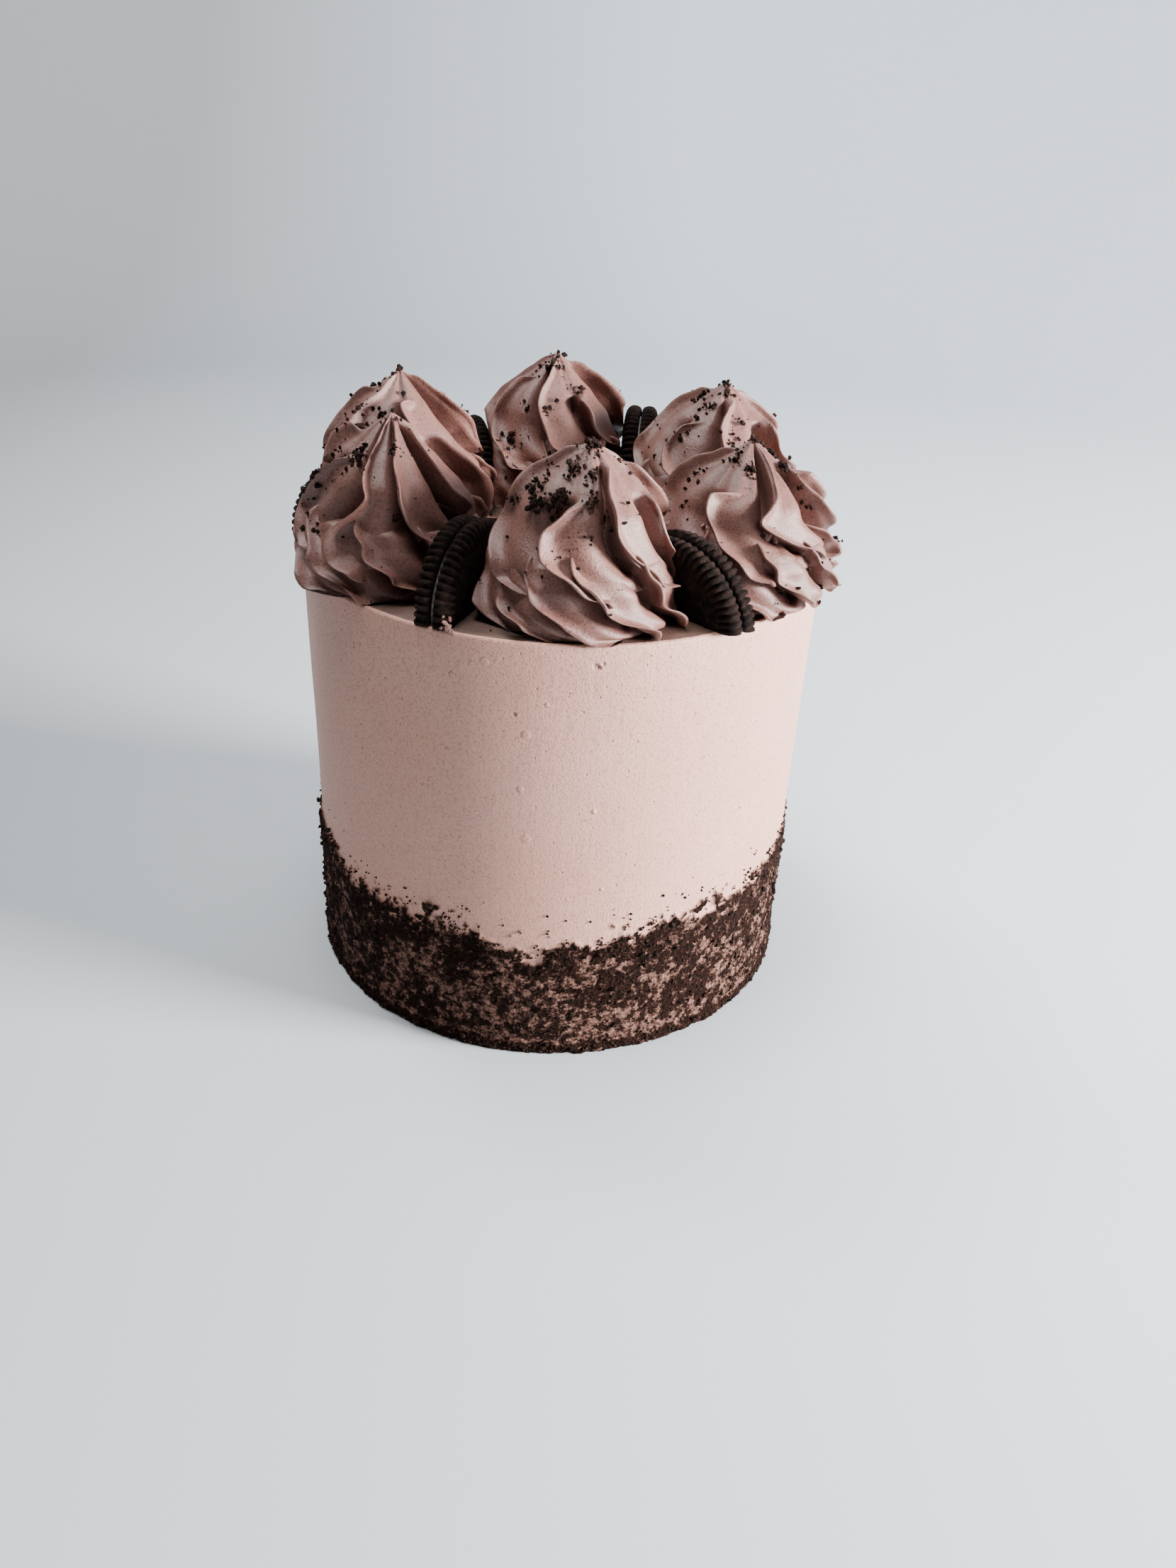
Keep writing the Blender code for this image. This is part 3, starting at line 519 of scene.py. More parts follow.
# A disc turned from a profile of (reach, across, how strongly the teeth show) in mm, cut at the cake's
# top
def turnedDisc(name, place, profile, columns, material, side=1.0):
    direction, normal, upward = cookieAxes(place)
    origin = np.array([axis[0] + place["at"][0], axis[1] + place["at"][1], cakeTop + place["rise"]])
    turn = np.arange(columns) * 2 * math.pi / columns
    notch = (0.5 - 0.5 * np.cos(turn * cookie["teeth"])) ** 1.9
    points = []
    for reach, across, toothed in profile:
        worn = cookie["worn"] * softNoise(turn * 9, turn * 0 + across * 0.9, 57, 3.0)
        out = reach * mm - cookie["toothDepth"] * toothed * notch - worn * toothed
        risen = cookie["toothRise"] * toothed * notch * (across * mm > cookie["cream"])
        height = side * (across * mm - risen)
        ring = origin + out[:, None] * (np.cos(turn)[:, None] * direction + np.sin(turn)[:, None] * upward)
        points.append(ring + height[:, None] * normal)
    piece = newPiece(name, np.concatenate(points), tubeFaces(len(profile), columns), material)
    closePiece(piece, cakeTop + cookie["seatGap"])
    return piece


def makeCookie(name, place):
    r, inner = cookie["radius"] / mm, cookie["cream"] / 2 / mm
    face = inner + cookie["wafer"] / mm
    swell = place["swell"]
    low, raised = face - 0.35, face - 0.15     # the middle of the face, and the ring on it
    waferProfile = [
        (0.5, inner, 0), (r * 0.5, inner, 0), (r - 3.2, inner, 0), (r - 2.5, inner - 0.5 * swell, 0),
        (r - 1.8, inner - swell, 0.15), (r - 1.1, inner - swell, 0.4), (r - 0.5, inner - 0.6 * swell, 0.7),
        (r - 0.12, inner + 0.2, 0.9), (r, inner + 0.9, 1), (r, inner + 1.7, 1), (r - 0.25, inner + 2.4, 1),
        (r - 0.7, face - 1.0, 1), (r - 1.4, face - 0.5, 1), (r - 2.2, face - 0.2, 1),
        (r - 3.0, face - 0.06, 0.9), (r - 3.8, face, 0.7), (r - 4.5, face - 0.05, 0.35),
        (r - 5.1, face - 0.3, 0), (r - 5.8, low, 0),
        (r - 9.0, low, 0), (r - 9.4, raised, 0), (r - 10.1, raised, 0), (r - 10.5, low, 0), (r * 0.2, low, 0),
        (0.5, low, 0)]
    columns = cookie["teeth"] * cookie["stepsPerTooth"]
    for letter, side in (("a", -1.0), ("b", 1.0)):
        node = f"{name}_wafer_{letter}"
        piece = turnedDisc(node + "_baked", place, waferProfile, columns, wafer, side)
        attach(piece, "root")
        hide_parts(node)
    rc, h = cookie["creamRadius"] / mm, inner - cookie["creamGap"] / mm
    creamProfile = [
        (0.5, -h, 0), (rc * 0.6, -h, 0), (rc - 0.5, -h, 0), (rc - 0.15, -0.8 * h, 0.1),
        (rc - 0.05, -0.3 * h, 0.15), (rc - 0.1, 0.3 * h, 0.1), (rc - 0.2, 0.8 * h, 0.1), (rc - 0.5, h, 0),
        (rc * 0.6, h, 0), (0.5, h, 0)]
    piece = turnedDisc(name + "_filling", place, creamProfile, cookie["creamSteps"], filling)
    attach(piece, "root")
    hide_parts(name + "_cream")


for name, place in cookies.items():
    makeCookie(name, place)
print("half cookies made")


# Piped swirls: a lower and an upper tier, each a shell of folds whose lips run down and to the right.
# A lip is a row of directions round the swirl's axis, in degrees from the front towards the right.

swirls = {
    "swirl_front": dict(
        at=(0.0050, -0.0520), radius=0.0260, height=0.0440, lean=(0.0010, 0.0), seed=2.4, drop=0.05,
        lips=(
            (-100, -86, -76, -75, -66, -54, -42, -28, 12), (-5, -3, -5, -22, -12, 3, 16, 28, 45),
            (32, 30, 24, 30, 40, 53, 68, 80, 95), (75, 75, 72, 75, 82, 95, 110, 120, 135),
            (120, 118, 115, 118, 125, 135, 148, 158, 172), (165, 162, 160, 163, 168, 178, 190, 200, 215),
            (210, 210, 210, 215, 222, 232, 244, 254, 270)),
        starts=(0.06, 0.33, 0.16, 0.34, 0.2, 0.1, 0.3),
        skirtLips=(
            (-128, -120, -110, -98, -84, -66), (-100, -93, -84, -70, -54, -34),
            (-72, -64, -54, -40, -25, -4), (-38, -32, -26, -10, 8, 30), (-5, 0, 12, 27, 46, 62),
            (40, 46, 52, 60, 74, 90), (82, 88, 96, 104, 114, 124), (122, 130, 138, 148, 158, 168),
            (164, 172, 182, 192, 202, 212), (200, 208, 218, 230, 244, 258))),
    "swirl_front_right": dict(
        at=(0.0500, -0.0290), radius=0.0262, height=0.0395, lean=(0.0, 0.0010), seed=4.4, drop=0.03,
        lips=(
            (-95, -92, -88, -88, -82, -70, -55, -40, -15), (-35, -32, -24, -30, -12, 5, 14, 25, 48),
            (25, 32, 27, 14, 38, 64, 80, 92, 110), (60, 62, 66, 75, 92, 106, 118, 128, 142),
            (105, 105, 108, 116, 130, 144, 156, 166, 180), (155, 155, 158, 166, 178, 190, 202, 212, 226),
            (210, 208, 208, 214, 224, 236, 248, 258, 272)),
        starts=(0.1, 0.34, 0.05, 0.2, 0.3, 0.1, 0.25),
        skirtLips=(
            (-120, -112, -102, -90, -74, -55), (-78, -70, -60, -46, -30, -10),
            (-36, -28, -18, -4, 12, 30), (4, 12, 22, 34, 48, 64), (42, 50, 60, 70, 82, 94),
            (80, 88, 98, 108, 118, 130), (120, 128, 138, 148, 158, 170), (160, 168, 178, 188, 198, 210),
            (200, 208, 218, 228, 242, 258))),
    "swirl_back_right": dict(
        at=(0.0465, 0.0290), radius=0.0262, height=0.0420, lean=(0.0020, 0.0), turn=110.0, seed=1.2, drop=0.0,
        lips=(
            (-120, -112, -104, -96, -86, -72, -58, -46, -20), (-50, -46, -40, -46, -30, -14, 0, 12, 34),
            (10, 10, 6, 10, 26, 44, 60, 72, 92), (66, 66, 64, 70, 84, 100, 114, 126, 144),
            (118, 118, 118, 124, 136, 150, 164, 174, 192), (172, 170, 170, 176, 188, 202, 214, 226, 244)),
        starts=(0.1, 0.3, 0.15, 0.3, 0.1, 0.25)),
    "swirl_back": dict(
        at=(-0.0050, 0.0510), radius=0.0260, height=0.0440, lean=(0.0010, 0.0), turn=20.0, seed=3.4, drop=0.0,
        lips=(
            (-130, -124, -116, -106, -94, -80, -66, -54, -30), (-62, -58, -54, -50, -40, -26, -12, 0, 24),
            (-14, -10, -8, -2, 12, 28, 44, 56, 80), (34, 36, 38, 46, 60, 76, 90, 102, 124),
            (92, 94, 96, 104, 116, 130, 144, 156, 176), (160, 162, 164, 172, 184, 198, 210, 222, 244)),
        starts=(0.0, 0.2, 0.05, 0.3, 0.1, 0.2)),
    "swirl_back_left": dict(
        at=(-0.0495, 0.0240), radius=0.0260, height=0.0425, lean=(-0.0020, 0.0), turn=80.0, seed=5.6,
        drop=0.0),
    "swirl_front_left": dict(
        at=(-0.0470, -0.0280), radius=0.0264, height=0.0425, lean=(-0.0005, 0.0), seed=0.7, drop=0.09,
        lips=(
            (-120, -115, -105, -100, -98, -92, -85, -78, -60),
            (-60, -55, -48, -66, -75, -71, -62, -50, -15), (-18, -15, -12, -8, -23, -21, -14, -4, 20),
            (14, 15, 16, 16, 28, 40, 52, 64, 80), (50, 50, 55, 62, 72, 84, 96, 106, 120),
            (100, 98, 98, 104, 114, 126, 138, 148, 162), (150, 148, 150, 156, 166, 178, 190, 200, 214),
            (200, 198, 200, 206, 214, 224, 236, 246, 262)),
        starts=(0.2, 0.30, 0.0, 0.05, 0.1, 0.2, 0.3, 0.1),
        skirtLips=(
            (-140, -132, -122, -108, -92, -75), (-100, -92, -82, -66, -48, -20),
            (-62, -55, -44, -30, -10, 16), (-20, -12, -2, 12, 28, 46), (22, 30, 40, 52, 66, 82),
            (64, 72, 82, 92, 104, 116), (106, 114, 124, 134, 146, 158), (148, 156, 166, 176, 188, 200),
            (186, 194, 204, 216, 230, 246))),
}

# Places run down a tier from its top (0) to its foot (1); radii, heights and fold depths are shares of
# the swirl's radius or height
upperTier = dict(
    places=(0.0, 0.14, 0.28, 0.42, 0.57, 0.71, 0.86, 1.0),
    radii=(0.010, 0.22, 0.48, 0.69, 0.82, 0.865, 0.80, 0.46),
    heights=(1.0, 0.932, 0.820, 0.68, 0.511, 0.398, 0.307, 0.273),
    depthPlaces=(0.0, 0.1, 0.35, 0.7, 0.85, 1.0), depths=(0.014, 0.20, 0.43, 0.48, 0.46, 0.32),
    lipPlaces=(0.0, 0.18, 0.34, 0.48, 0.60, 0.70, 0.79, 0.86, 1.0), wind=(0, 2, 4, 10, 22, 38, 54, 68, 92),
    folds=7, sway=6.0, uneven=0.30, hook=0.13, hookAt=0.86, hookWidth=0.08)
lowerTier = dict(
    places=(0.0, 0.2, 0.42, 0.64, 0.84, 1.0),
    radii=(0.55, 0.84, 0.935, 0.965, 0.96, 0.90),
    heights=(0.50, 0.42, 0.30, 0.16, 0.05, 0.0),
    depthPlaces=(0.0, 0.2, 0.5, 0.8, 1.0), depths=(0.16, 0.30, 0.38, 0.37, 0.30),
    lipPlaces=(0.0, 0.2, 0.42, 0.64, 0.84, 1.0), wind=(0, 7, 18, 32, 48, 60),
    folds=9, sway=6.0, uneven=0.30, hook=0.09, hookAt=0.80, hookWidth=0.14)
piping = dict(footCut=0.7 * mm, seatGap=0.05 * mm, peakDraw=1.2 * mm, meanLift=0.66, ruffle=3.0, wave=0.045,
              lowerGrid=(56, 22), upperGrid=(96, 26), pressGap=0.25 * mm, pressMargin=0.6 * mm,
              pressFade=0.012, softness=0.6 * mm, cookieReach=0.06, swirlReach=0.056, swirlGap=0.12 * mm,
              boxGap=0.1 * mm, boxSoftness=0.4 * mm)

# One fold across: from the rounded lip, which hangs over the fold before it, down the long scoop to
# the crevice and up under the next lip (share of the fold's width, share of its depth)
foldShape = (
    (-0.175, 0.82), (-0.208, 0.91), (-0.20, 0.99), (-0.172, 1.0), (-0.148, 0.91), (-0.11, 0.78),
    (-0.03, 0.70), (0.10, 0.68), (0.26, 0.70), (0.42, 0.67), (0.57, 0.52), (0.70, 0.28), (0.81, 0.04),
    (0.88, 0.0), (0.905, 0.20), (0.885, 0.46), (0.855, 0.69))


# Points of one fold on a soft line through foldShape: place across it, share of its width and of its depth
def foldAcross(count):
    knots = np.array(foldShape)
    n = len(knots)
    ring = np.concatenate([knots - [1, 0], knots, knots + [1, 0]])
    at = np.arange(count) / count * n + n
    i, t = np.floor(at).astype(int), (at % 1)[:, None]
    p0, p1, p2, p3 = (ring[i + k] for k in (-1, 0, 1, 2))
    line = 0.5 * (2 * p1 + (p2 - p0) * t + (2 * p0 - 5 * p1 + 4 * p2 - p3) * t ** 2
                  + (3 * p1 - p0 - 3 * p2 + p3) * t ** 3)
    return np.arange(count) / count, line[:, 0], line[:, 1]


# Directions of the lips for a swirl that isn't set out by hand: uneven steps round it, wound the same way
def drawnLips(swirl, tier, seed):
    count = tier["folds"]
    number = np.arange(count)
    widths = 0.6 * np.sin(number * 12.99 + seed * 78.2) + 0.4 * np.sin(number * 4.14 + seed * 1.7)
    widths = 1 + tier["uneven"] * widths
    starts = np.concatenate([[0], np.cumsum(widths[:-1])]) / widths.sum() * 360 + swirl["turn"]
    places = np.array(tier["lipPlaces"])
    sway = tier["sway"] * np.sin(2 * np.pi * 1.2 * places[None, :] + 1.9 * number[:, None] + seed * 3)
    sway = sway * np.clip(places * 2.2, 0, 1)
    pull = 1 + 0.18 * np.sin(number * 2.7 + seed * 5)
    return starts[:, None] + np.array(tier["wind"])[None, :] * pull[:, None] + sway


def foldedShell(swirl, tier, lips, starts, rows, perFold, seed):
    radius, height = swirl["radius"], swirl["height"]
    lips = np.array(lips, float)
    folds = len(lips)
    down = np.linspace(0, 1, rows)
    out = radius * softLine(down, tier["places"], tier["radii"], 0.08)
    up = height * softLine(down, tier["places"], tier["heights"], 0.08)
    if tier is upperTier:
        up += (piping["peakDraw"] + piping["footCut"]) * np.clip(1 - down / 0.2, 0, 1)
        up -= swirl["drop"] * height * smoothStep(down, 0.45, 0.85)
    slope = np.hypot(np.gradient(out), np.gradient(up))
    normalOut, normalUp = -np.gradient(up) / slope, np.gradient(out) / slope

    lipLines = np.array([softLine(down, tier["lipPlaces"], lip, 0.12) for lip in lips]).T
    lipLines = np.concatenate([lipLines, lipLines[:, :1] + 360], 1)
    even, across, lift = foldAcross(perFold)
    fold = np.repeat(np.arange(folds), perFold)
    lift = np.tile(lift, folds)[None, :]
    downGrid = down[:, None]
    lean = np.clip(downGrid * 3.5, 0, 1) if tier is upperTier else 1.0
    begun = smoothStep(downGrid, np.array(starts)[None, :] - 0.03, np.array(starts)[None, :] + 0.06)
    begun = np.concatenate([begun, begun[:, :1]], 1)
    toNext = smoothStep(np.tile(even, folds)[None, :], 0.35, 0.75)
    begun = begun[:, fold] * (1 - toNext) + begun[:, fold + 1] * toNext
    lean = lean * begun
    share = np.tile(even, folds)[None, :] * (1 - lean) + np.tile(across, folds)[None, :] * lean
    width = lipLines[:, fold + 1] - lipLines[:, fold]
    angle = np.radians(lipLines[:, fold] + share * width - 90)

    ruffle = np.sin(2 * np.pi * (3.4 + 0.5 * np.sin(fold * 1.7 + seed)) * downGrid + 1.3 * fold + seed * 2)
    ruffle = np.radians(piping["ruffle"]) * ruffle
    angle = angle + ruffle * np.clip(lift, 0, 1) ** 3 * smoothStep(downGrid, 0.2, 0.5)

    depth = radius * softLine(down, tier["depthPlaces"], tier["depths"], 0.08)[:, None]
    depth = depth * np.clip(width * folds / 360, 0.55, 1.25)
    depth = depth * (1 + 0.2 * np.sin(fold * 2.1 + seed * 1.3 + 3 * downGrid))
    depth = depth * (lift - piping["meanLift"]) * (0.12 + 0.88 * begun)
    waves = np.sin(2 * np.pi * (2.3 + 0.4 * np.sin(fold * 3.3 + seed)) * downGrid + 2.3 * fold + seed * 4)
    waves = piping["wave"] * radius * waves * np.clip(lift, 0, 1) ** 2 * smoothStep(downGrid, 0.2, 0.55)
    reachOut = np.maximum(out[:, None] + (depth + waves) * normalOut[:, None], 0.02 * mm)
    hooked = tier["hook"] * radius * np.clip(lift, 0, 1) ** 4
    hooked = hooked * np.exp(-((downGrid - tier["hookAt"]) / tier["hookWidth"]) ** 2)
    reachOut = reachOut + hooked
    upward = up[:, None] + (depth + waves) * normalUp[:, None] + 0.7 * hooked
    bend = np.clip(upward / height, 0, 1) ** 2
    x = reachOut * np.cos(angle) + swirl["lean"][0] * bend
    y = reachOut * np.sin(angle) + swirl["lean"][1] * bend
    return np.stack([x, y, upward], -1)


# Soft cream gives way to the cookies and the swirls beside it; points and centre from the cake's axis
def pressAside(points, centre):
    soft = piping["softness"]
    for place in cookies.values():
        if math.dist(place["at"], centre) > piping["cookieReach"]:
            continue
        direction, normal, upward = cookieAxes(place)
        origin = np.array([*place["at"], cakeTop + place["rise"]])
        ownSide = math.copysign(1.0, float(np.dot(np.array([*centre, cakeTop]) - origin, normal)))
        offset = points - origin
        away = ownSide * (offset @ normal)
        reach = np.hypot(offset @ direction, offset @ upward)
        wall = cookie["wafer"] + cookie["cream"] / 2 + piping["pressGap"]
        blend = np.clip((reach - cookie["radius"] - piping["pressMargin"]) / (5 * mm), 0, 1)
        wall = wall - (0.5 - 0.5 * np.cos(np.pi * blend)) * piping["pressFade"]
        pushed = wall + softBend(away - wall, soft)
        points = points + (np.where(away < wall + 6 * soft, pushed - away, 0.0) * ownSide)[..., None] * normal
    for other in swirls.values():
        gap = np.array([*other["at"], 0.0]) - np.array([*centre, 0.0])
        distance = np.linalg.norm(gap)
        if distance < 1 * mm or distance > piping["swirlReach"]:
            continue
        toward = gap / distance
        room = distance / 2 - piping["swirlGap"] - ((points - np.array([*centre, 0.0])) @ toward)
        points = points - np.where(room < 6 * soft, softBend(room, soft) - room, 0.0)[..., None] * toward
    return points


def makeSwirl(name, swirl):
    foot = cakeTop + piping["seatGap"] - piping["footCut"]
    points, faces, start = [], [], 0
    seed = swirl["seed"]
    upperLips = swirl.get("lips") or drawnLips(swirl, upperTier, seed)
    lowerLips = swirl.get("skirtLips") or drawnLips(swirl, lowerTier, seed + 2)
    starts = swirl.get("starts") or [0.12 + 0.12 * math.sin(2.4 * k + seed) for k in range(len(upperLips))]
    fromTheTop = [-1.0] * len(lowerLips)
    for shell in (foldedShell(swirl, lowerTier, lowerLips, fromTheTop, *piping["lowerGrid"], seed + 1),
                  foldedShell(swirl, upperTier, upperLips, starts, *piping["upperGrid"], seed)):
        rows, columns = shell.shape[:2]
        shell[..., 2] = np.maximum(shell[..., 2], 0.0)
        points.append(pressAside(shell.reshape(-1, 3) + np.array([*swirl["at"], foot]), swirl["at"]))
        faces += tubeFaces(rows, columns, start)
        start += rows * columns
    points = np.concatenate(points) + np.array([*axis, 0.0])
    points[:, 2] = np.maximum(points[:, 2], cakeTop + piping["seatGap"])
    for side in (0, 1):
        for sign, limit in ((1, cadBox[1][side]), (-1, -cadBox[0][side])):
            room = (limit - piping["boxGap"] - sign * points[:, side]) / piping["boxSoftness"]
            inward = piping["boxSoftness"] * np.logaddexp(0, room)
            points[:, side] = sign * (limit - piping["boxGap"] - inward)
    piece = newPiece(name + "_piped", points, faces, pipedCream)
    closePiece(piece)
    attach(piece, "root")
    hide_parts(name)
    return piece


swirlPieces = {name: makeSwirl(name, swirl) for name, swirl in swirls.items()}
for name, piece in swirlPieces.items():
    print(name, "made,", len(piece.data.polygons), "faces")


# Crumbs

# What makes a ball a crumb: its stretch along each axis, how uneven it is, and how its tones are spread
crumbShape = dict(stretch=(0.55, 1.15), uneven=(0.58, 1.25), tones=(1.2, 3.4))


# Many crumbs as one mesh: an uneven lump at each spot, sunk a little into what it lies on; the
# largest are cut finer
def crumbPiece(name, spots, normals, sizes, seed, fineFrom=0.7 * mm, sink=0.3, material=crumb,
               slot="cocoa_wafer"):
    rng = np.random.default_rng(seed)
    parts, faces, tones, start = [], [], [], 0
    for fineness, chosen in ((1, sizes < fineFrom), (2, sizes >= fineFrom)):
        ball = bmesh.new()
        bmesh.ops.create_icosphere(ball, subdivisions=fineness, radius=1.0)
        unit = np.array([tuple(v.co) for v in ball.verts])
        corners = np.array([[v.index for v in f.verts] for f in ball.faces])
        ball.free()
        count, each = int(chosen.sum()), len(unit)
        turns = rng.normal(size=(count, 4))
        turns /= np.linalg.norm(turns, axis=1)[:, None]
        w, x, y, z = turns.T
        spin = np.stack([
            1 - 2 * (y * y + z * z), 2 * (x * y - z * w), 2 * (x * z + y * w),
            2 * (x * y + z * w), 1 - 2 * (x * x + z * z), 2 * (y * z - x * w),
            2 * (x * z - y * w), 2 * (y * z + x * w), 1 - 2 * (x * x + y * y)], -1).reshape(count, 3, 3)
        stretch = rng.uniform(*crumbShape["stretch"], (count, 1, 3))
        lumps = unit[None] * rng.uniform(*crumbShape["uneven"], (count, each, 1)) * stretch
        lumps = np.einsum("nij,nkj->nki", spin, lumps) * sizes[chosen, None, None]
        raised = normals[chosen] * (sizes[chosen] * (1 - 2 * sink))[:, None]
        points = lumps + (spots[chosen] + raised)[:, None, :]
        parts.append(points.reshape(-1, 3))
        faces += (corners[None] + (start + np.arange(count) * each)[:, None, None]).reshape(-1, 3).tolist()
        tones.append(np.repeat(rng.beta(*crumbShape["tones"], count), each))
        start += count * each
    points = np.clip(np.concatenate(parts), np.array(cadBox[0]) + 0.02 * mm, np.array(cadBox[1]) - 0.02 * mm)
    piece = newPiece(name, points, faces, material, smooth=False, tone=np.concatenate(tones))
    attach(piece, "root")
    print(name, "made,", len(sizes), "crumbs")
    return piece


# Crumbs of the band: how many of each kind and their sizes (mm)
bandCrumbs = dict(fine=6600, fineSizes=(0.22, 0.68), coarse=850, coarseSizes=(0.5, 1.2), stray=1900,
                  foot=1300, footSizes=(0.3, 0.85), bandTop=54 * mm, strayFoot=30 * mm, strayTop=60 * mm,
                  footTop=3.2 * mm, drawsPerSpot=30, mostOut=2.1 * mm)


# Places on the wall drawn where the crumbs lie thick
def wallSpots(rng, count, low, high, weigh):
    draws = count * bandCrumbs["drawsPerSpot"]
    angle = rng.uniform(0, 2 * math.pi, draws)
    z = rng.uniform(low, high, draws)
    kept = rng.uniform(0, 1, draws) < weigh(angle, z)
    return angle[kept][:count], z[kept][:count]


def onCakeWall(angle, z, sizes):
    radius = wallRadius(z) + 0.8 * bandRelief(angle, z)[0]
    radius = np.minimum(radius, cakeBody["footRadius"] + bandCrumbs["mostOut"] - sizes * 0.9)
    normals = np.stack([np.cos(angle), np.sin(angle), 0 * angle], -1)
    spots = normals * radius[:, None] + np.array([*axis, 0.0])
    spots[:, 2] = np.maximum(z, sizes * 1.25)
    return spots, normals


def makeBandCrumbs():
    b = bandCrumbs
    rng = np.random.default_rng(11)

    def thick(angle, z):
        cover, smear = bandCover(angle, z)
        return cover * (1 - 0.6 * smear)

    def clumps(angle, z):
        cover, smear = bandCover(angle, z)
        lump = smoothStep(onWall(softNoise, angle, z, 3.0, 12.0), 0.45, 0.85)
        return smoothStep(cover, 0.1, 0.5) * (1 - 0.6 * smear) * lump

    def strays(angle, z):
        above = (z - bandTop(angle)) / mm
        clump = smoothStep(onWall(softNoise, angle, z, 2.6, 13.0), 0.45, 0.75)
        return np.exp(-np.clip(above, 0, None) / 2.6) * (above > -4.0) * clump * 0.6

    groups = []
    for count, sizes, low, high, weigh in (
            (b["fine"], b["fineSizes"], 0, b["bandTop"], thick),
            (b["coarse"], b["coarseSizes"], 0, b["bandTop"], clumps),
            (b["stray"], b["fineSizes"], b["strayFoot"], b["strayTop"], strays),
            (b["foot"], b["footSizes"], 0, b["footTop"], lambda angle, z: 1.0 + 0 * z)):
        angle, z = wallSpots(rng, count, low, high, weigh)
        size = (sizes[0] + (sizes[1] - sizes[0]) * rng.beta(1.2, 2.4, len(angle))) * mm
        groups.append((*onCakeWall(angle, z, size), size))
    for name, seed, pair in (("bandCrumbsFine", 21, groups[0::2]), ("bandCrumbsCoarse", 22, groups[1::2])):
        crumbPiece(name, *[np.concatenate(parts) for parts in zip(*pair)], seed=seed)


makeBandCrumbs()

# Crumbs on the swirls and the top: how many, their sizes and how wide a cluster spreads (mm)
toppingCrumbs = dict(perSwirl=190, clusters=6, sizes=(0.24, 1.5), clusterSizes=(0.3, 1.5), jitter=0.25 * mm,
                     peakSpread=1.7, spreads=(0.9, 3.0), peakShare=0.07, evenShare=0.35, onTop=90,
                     topSizes=(0.2, 0.5), topReach=77 * mm)

# Little heaps of crumbs where they show: place from the cake's axis and top, how many, spread (mm)
heaps = {
    "swirl_front": (
        (-7.0, -62.2, 31.7, 34, 1.5), (-1.8, -63.7, 31.8, 34, 1.3), (-3.2, -64.5, 29.2, 14, 1.3),
        (1.8, -57.7, 39.1, 26, 1.3), (-13.1, -54.6, 30.0, 14, 1.0), (6.1, -54.7, 43.4, 26, 1.4),
        (8.1, -66.0, 33.0, 22, 1.6), (6.2, -62.1, 37.3, 14, 1.5), (5.7, -71.4, 25.6, 6, 0.7),
        (-6.0, -56.4, 35.6, 22, 2.0), (-4.0, -52.8, 38.6, 8, 1.0), (9.5, -66.0, 27.9, 10, 2.0)),
    "swirl_front_right": (
        (46.3, -30.5, 37.4, 12, 1.2), (55.7, -26.6, 36.8, 20, 1.3), (49.9, -36.1, 35.0, 20, 1.5),
        (60.8, -35.2, 32.5, 12, 2.2), (65.9, -35.8, 24.8, 8, 1.0), (35.7, -30.3, 30.3, 8, 1.6),
        (42.8, -31.2, 35.2, 5, 1.0), (32.5, -36.0, 24.1, 6, 1.4)),
    "swirl_front_left": (
        (-54.7, -38.3, 34.3, 26, 1.5), (-66.5, -33.0, 27.0, 26, 1.5), (-69.1, -32.5, 21.2, 16, 2.4),
        (-68.8, -41.1, 17.1, 10, 2.2), (-59.5, -39.8, 29.6, 6, 1.0), (-45.0, -47.4, 21.1, 7, 0.9),
        (-33.6, -36.0, 20.0, 6, 0.8)),
    "swirl_back": (
        (-4.8, 46.8, 42.9, 22, 1.3), (-5.8, 34.6, 30.8, 12, 1.3), (2.5, 41.4, 36.1, 12, 1.2),
        (-18.0, 34.9, 22.5, 8, 1.2), (-14.8, 38.2, 31.5, 8, 1.5)),
    "swirl_back_right": (
        (41.2, 30.3, 38.1, 18, 1.2), (48.8, 25.2, 40.5, 18, 1.2), (43.2, 22.3, 37.1, 24, 1.4),
        (35.9, 17.7, 30.5, 5, 0.8), (50.9, 16.8, 34.0, 8, 1.2)),
    "swirl_back_left": (
        (-55.4, 10.3, 32.7, 12, 1.0), (-61.5, 9.3, 29.9, 8, 1.3), (-72.0, 20.2, 23.4, 10, 1.3)),
}


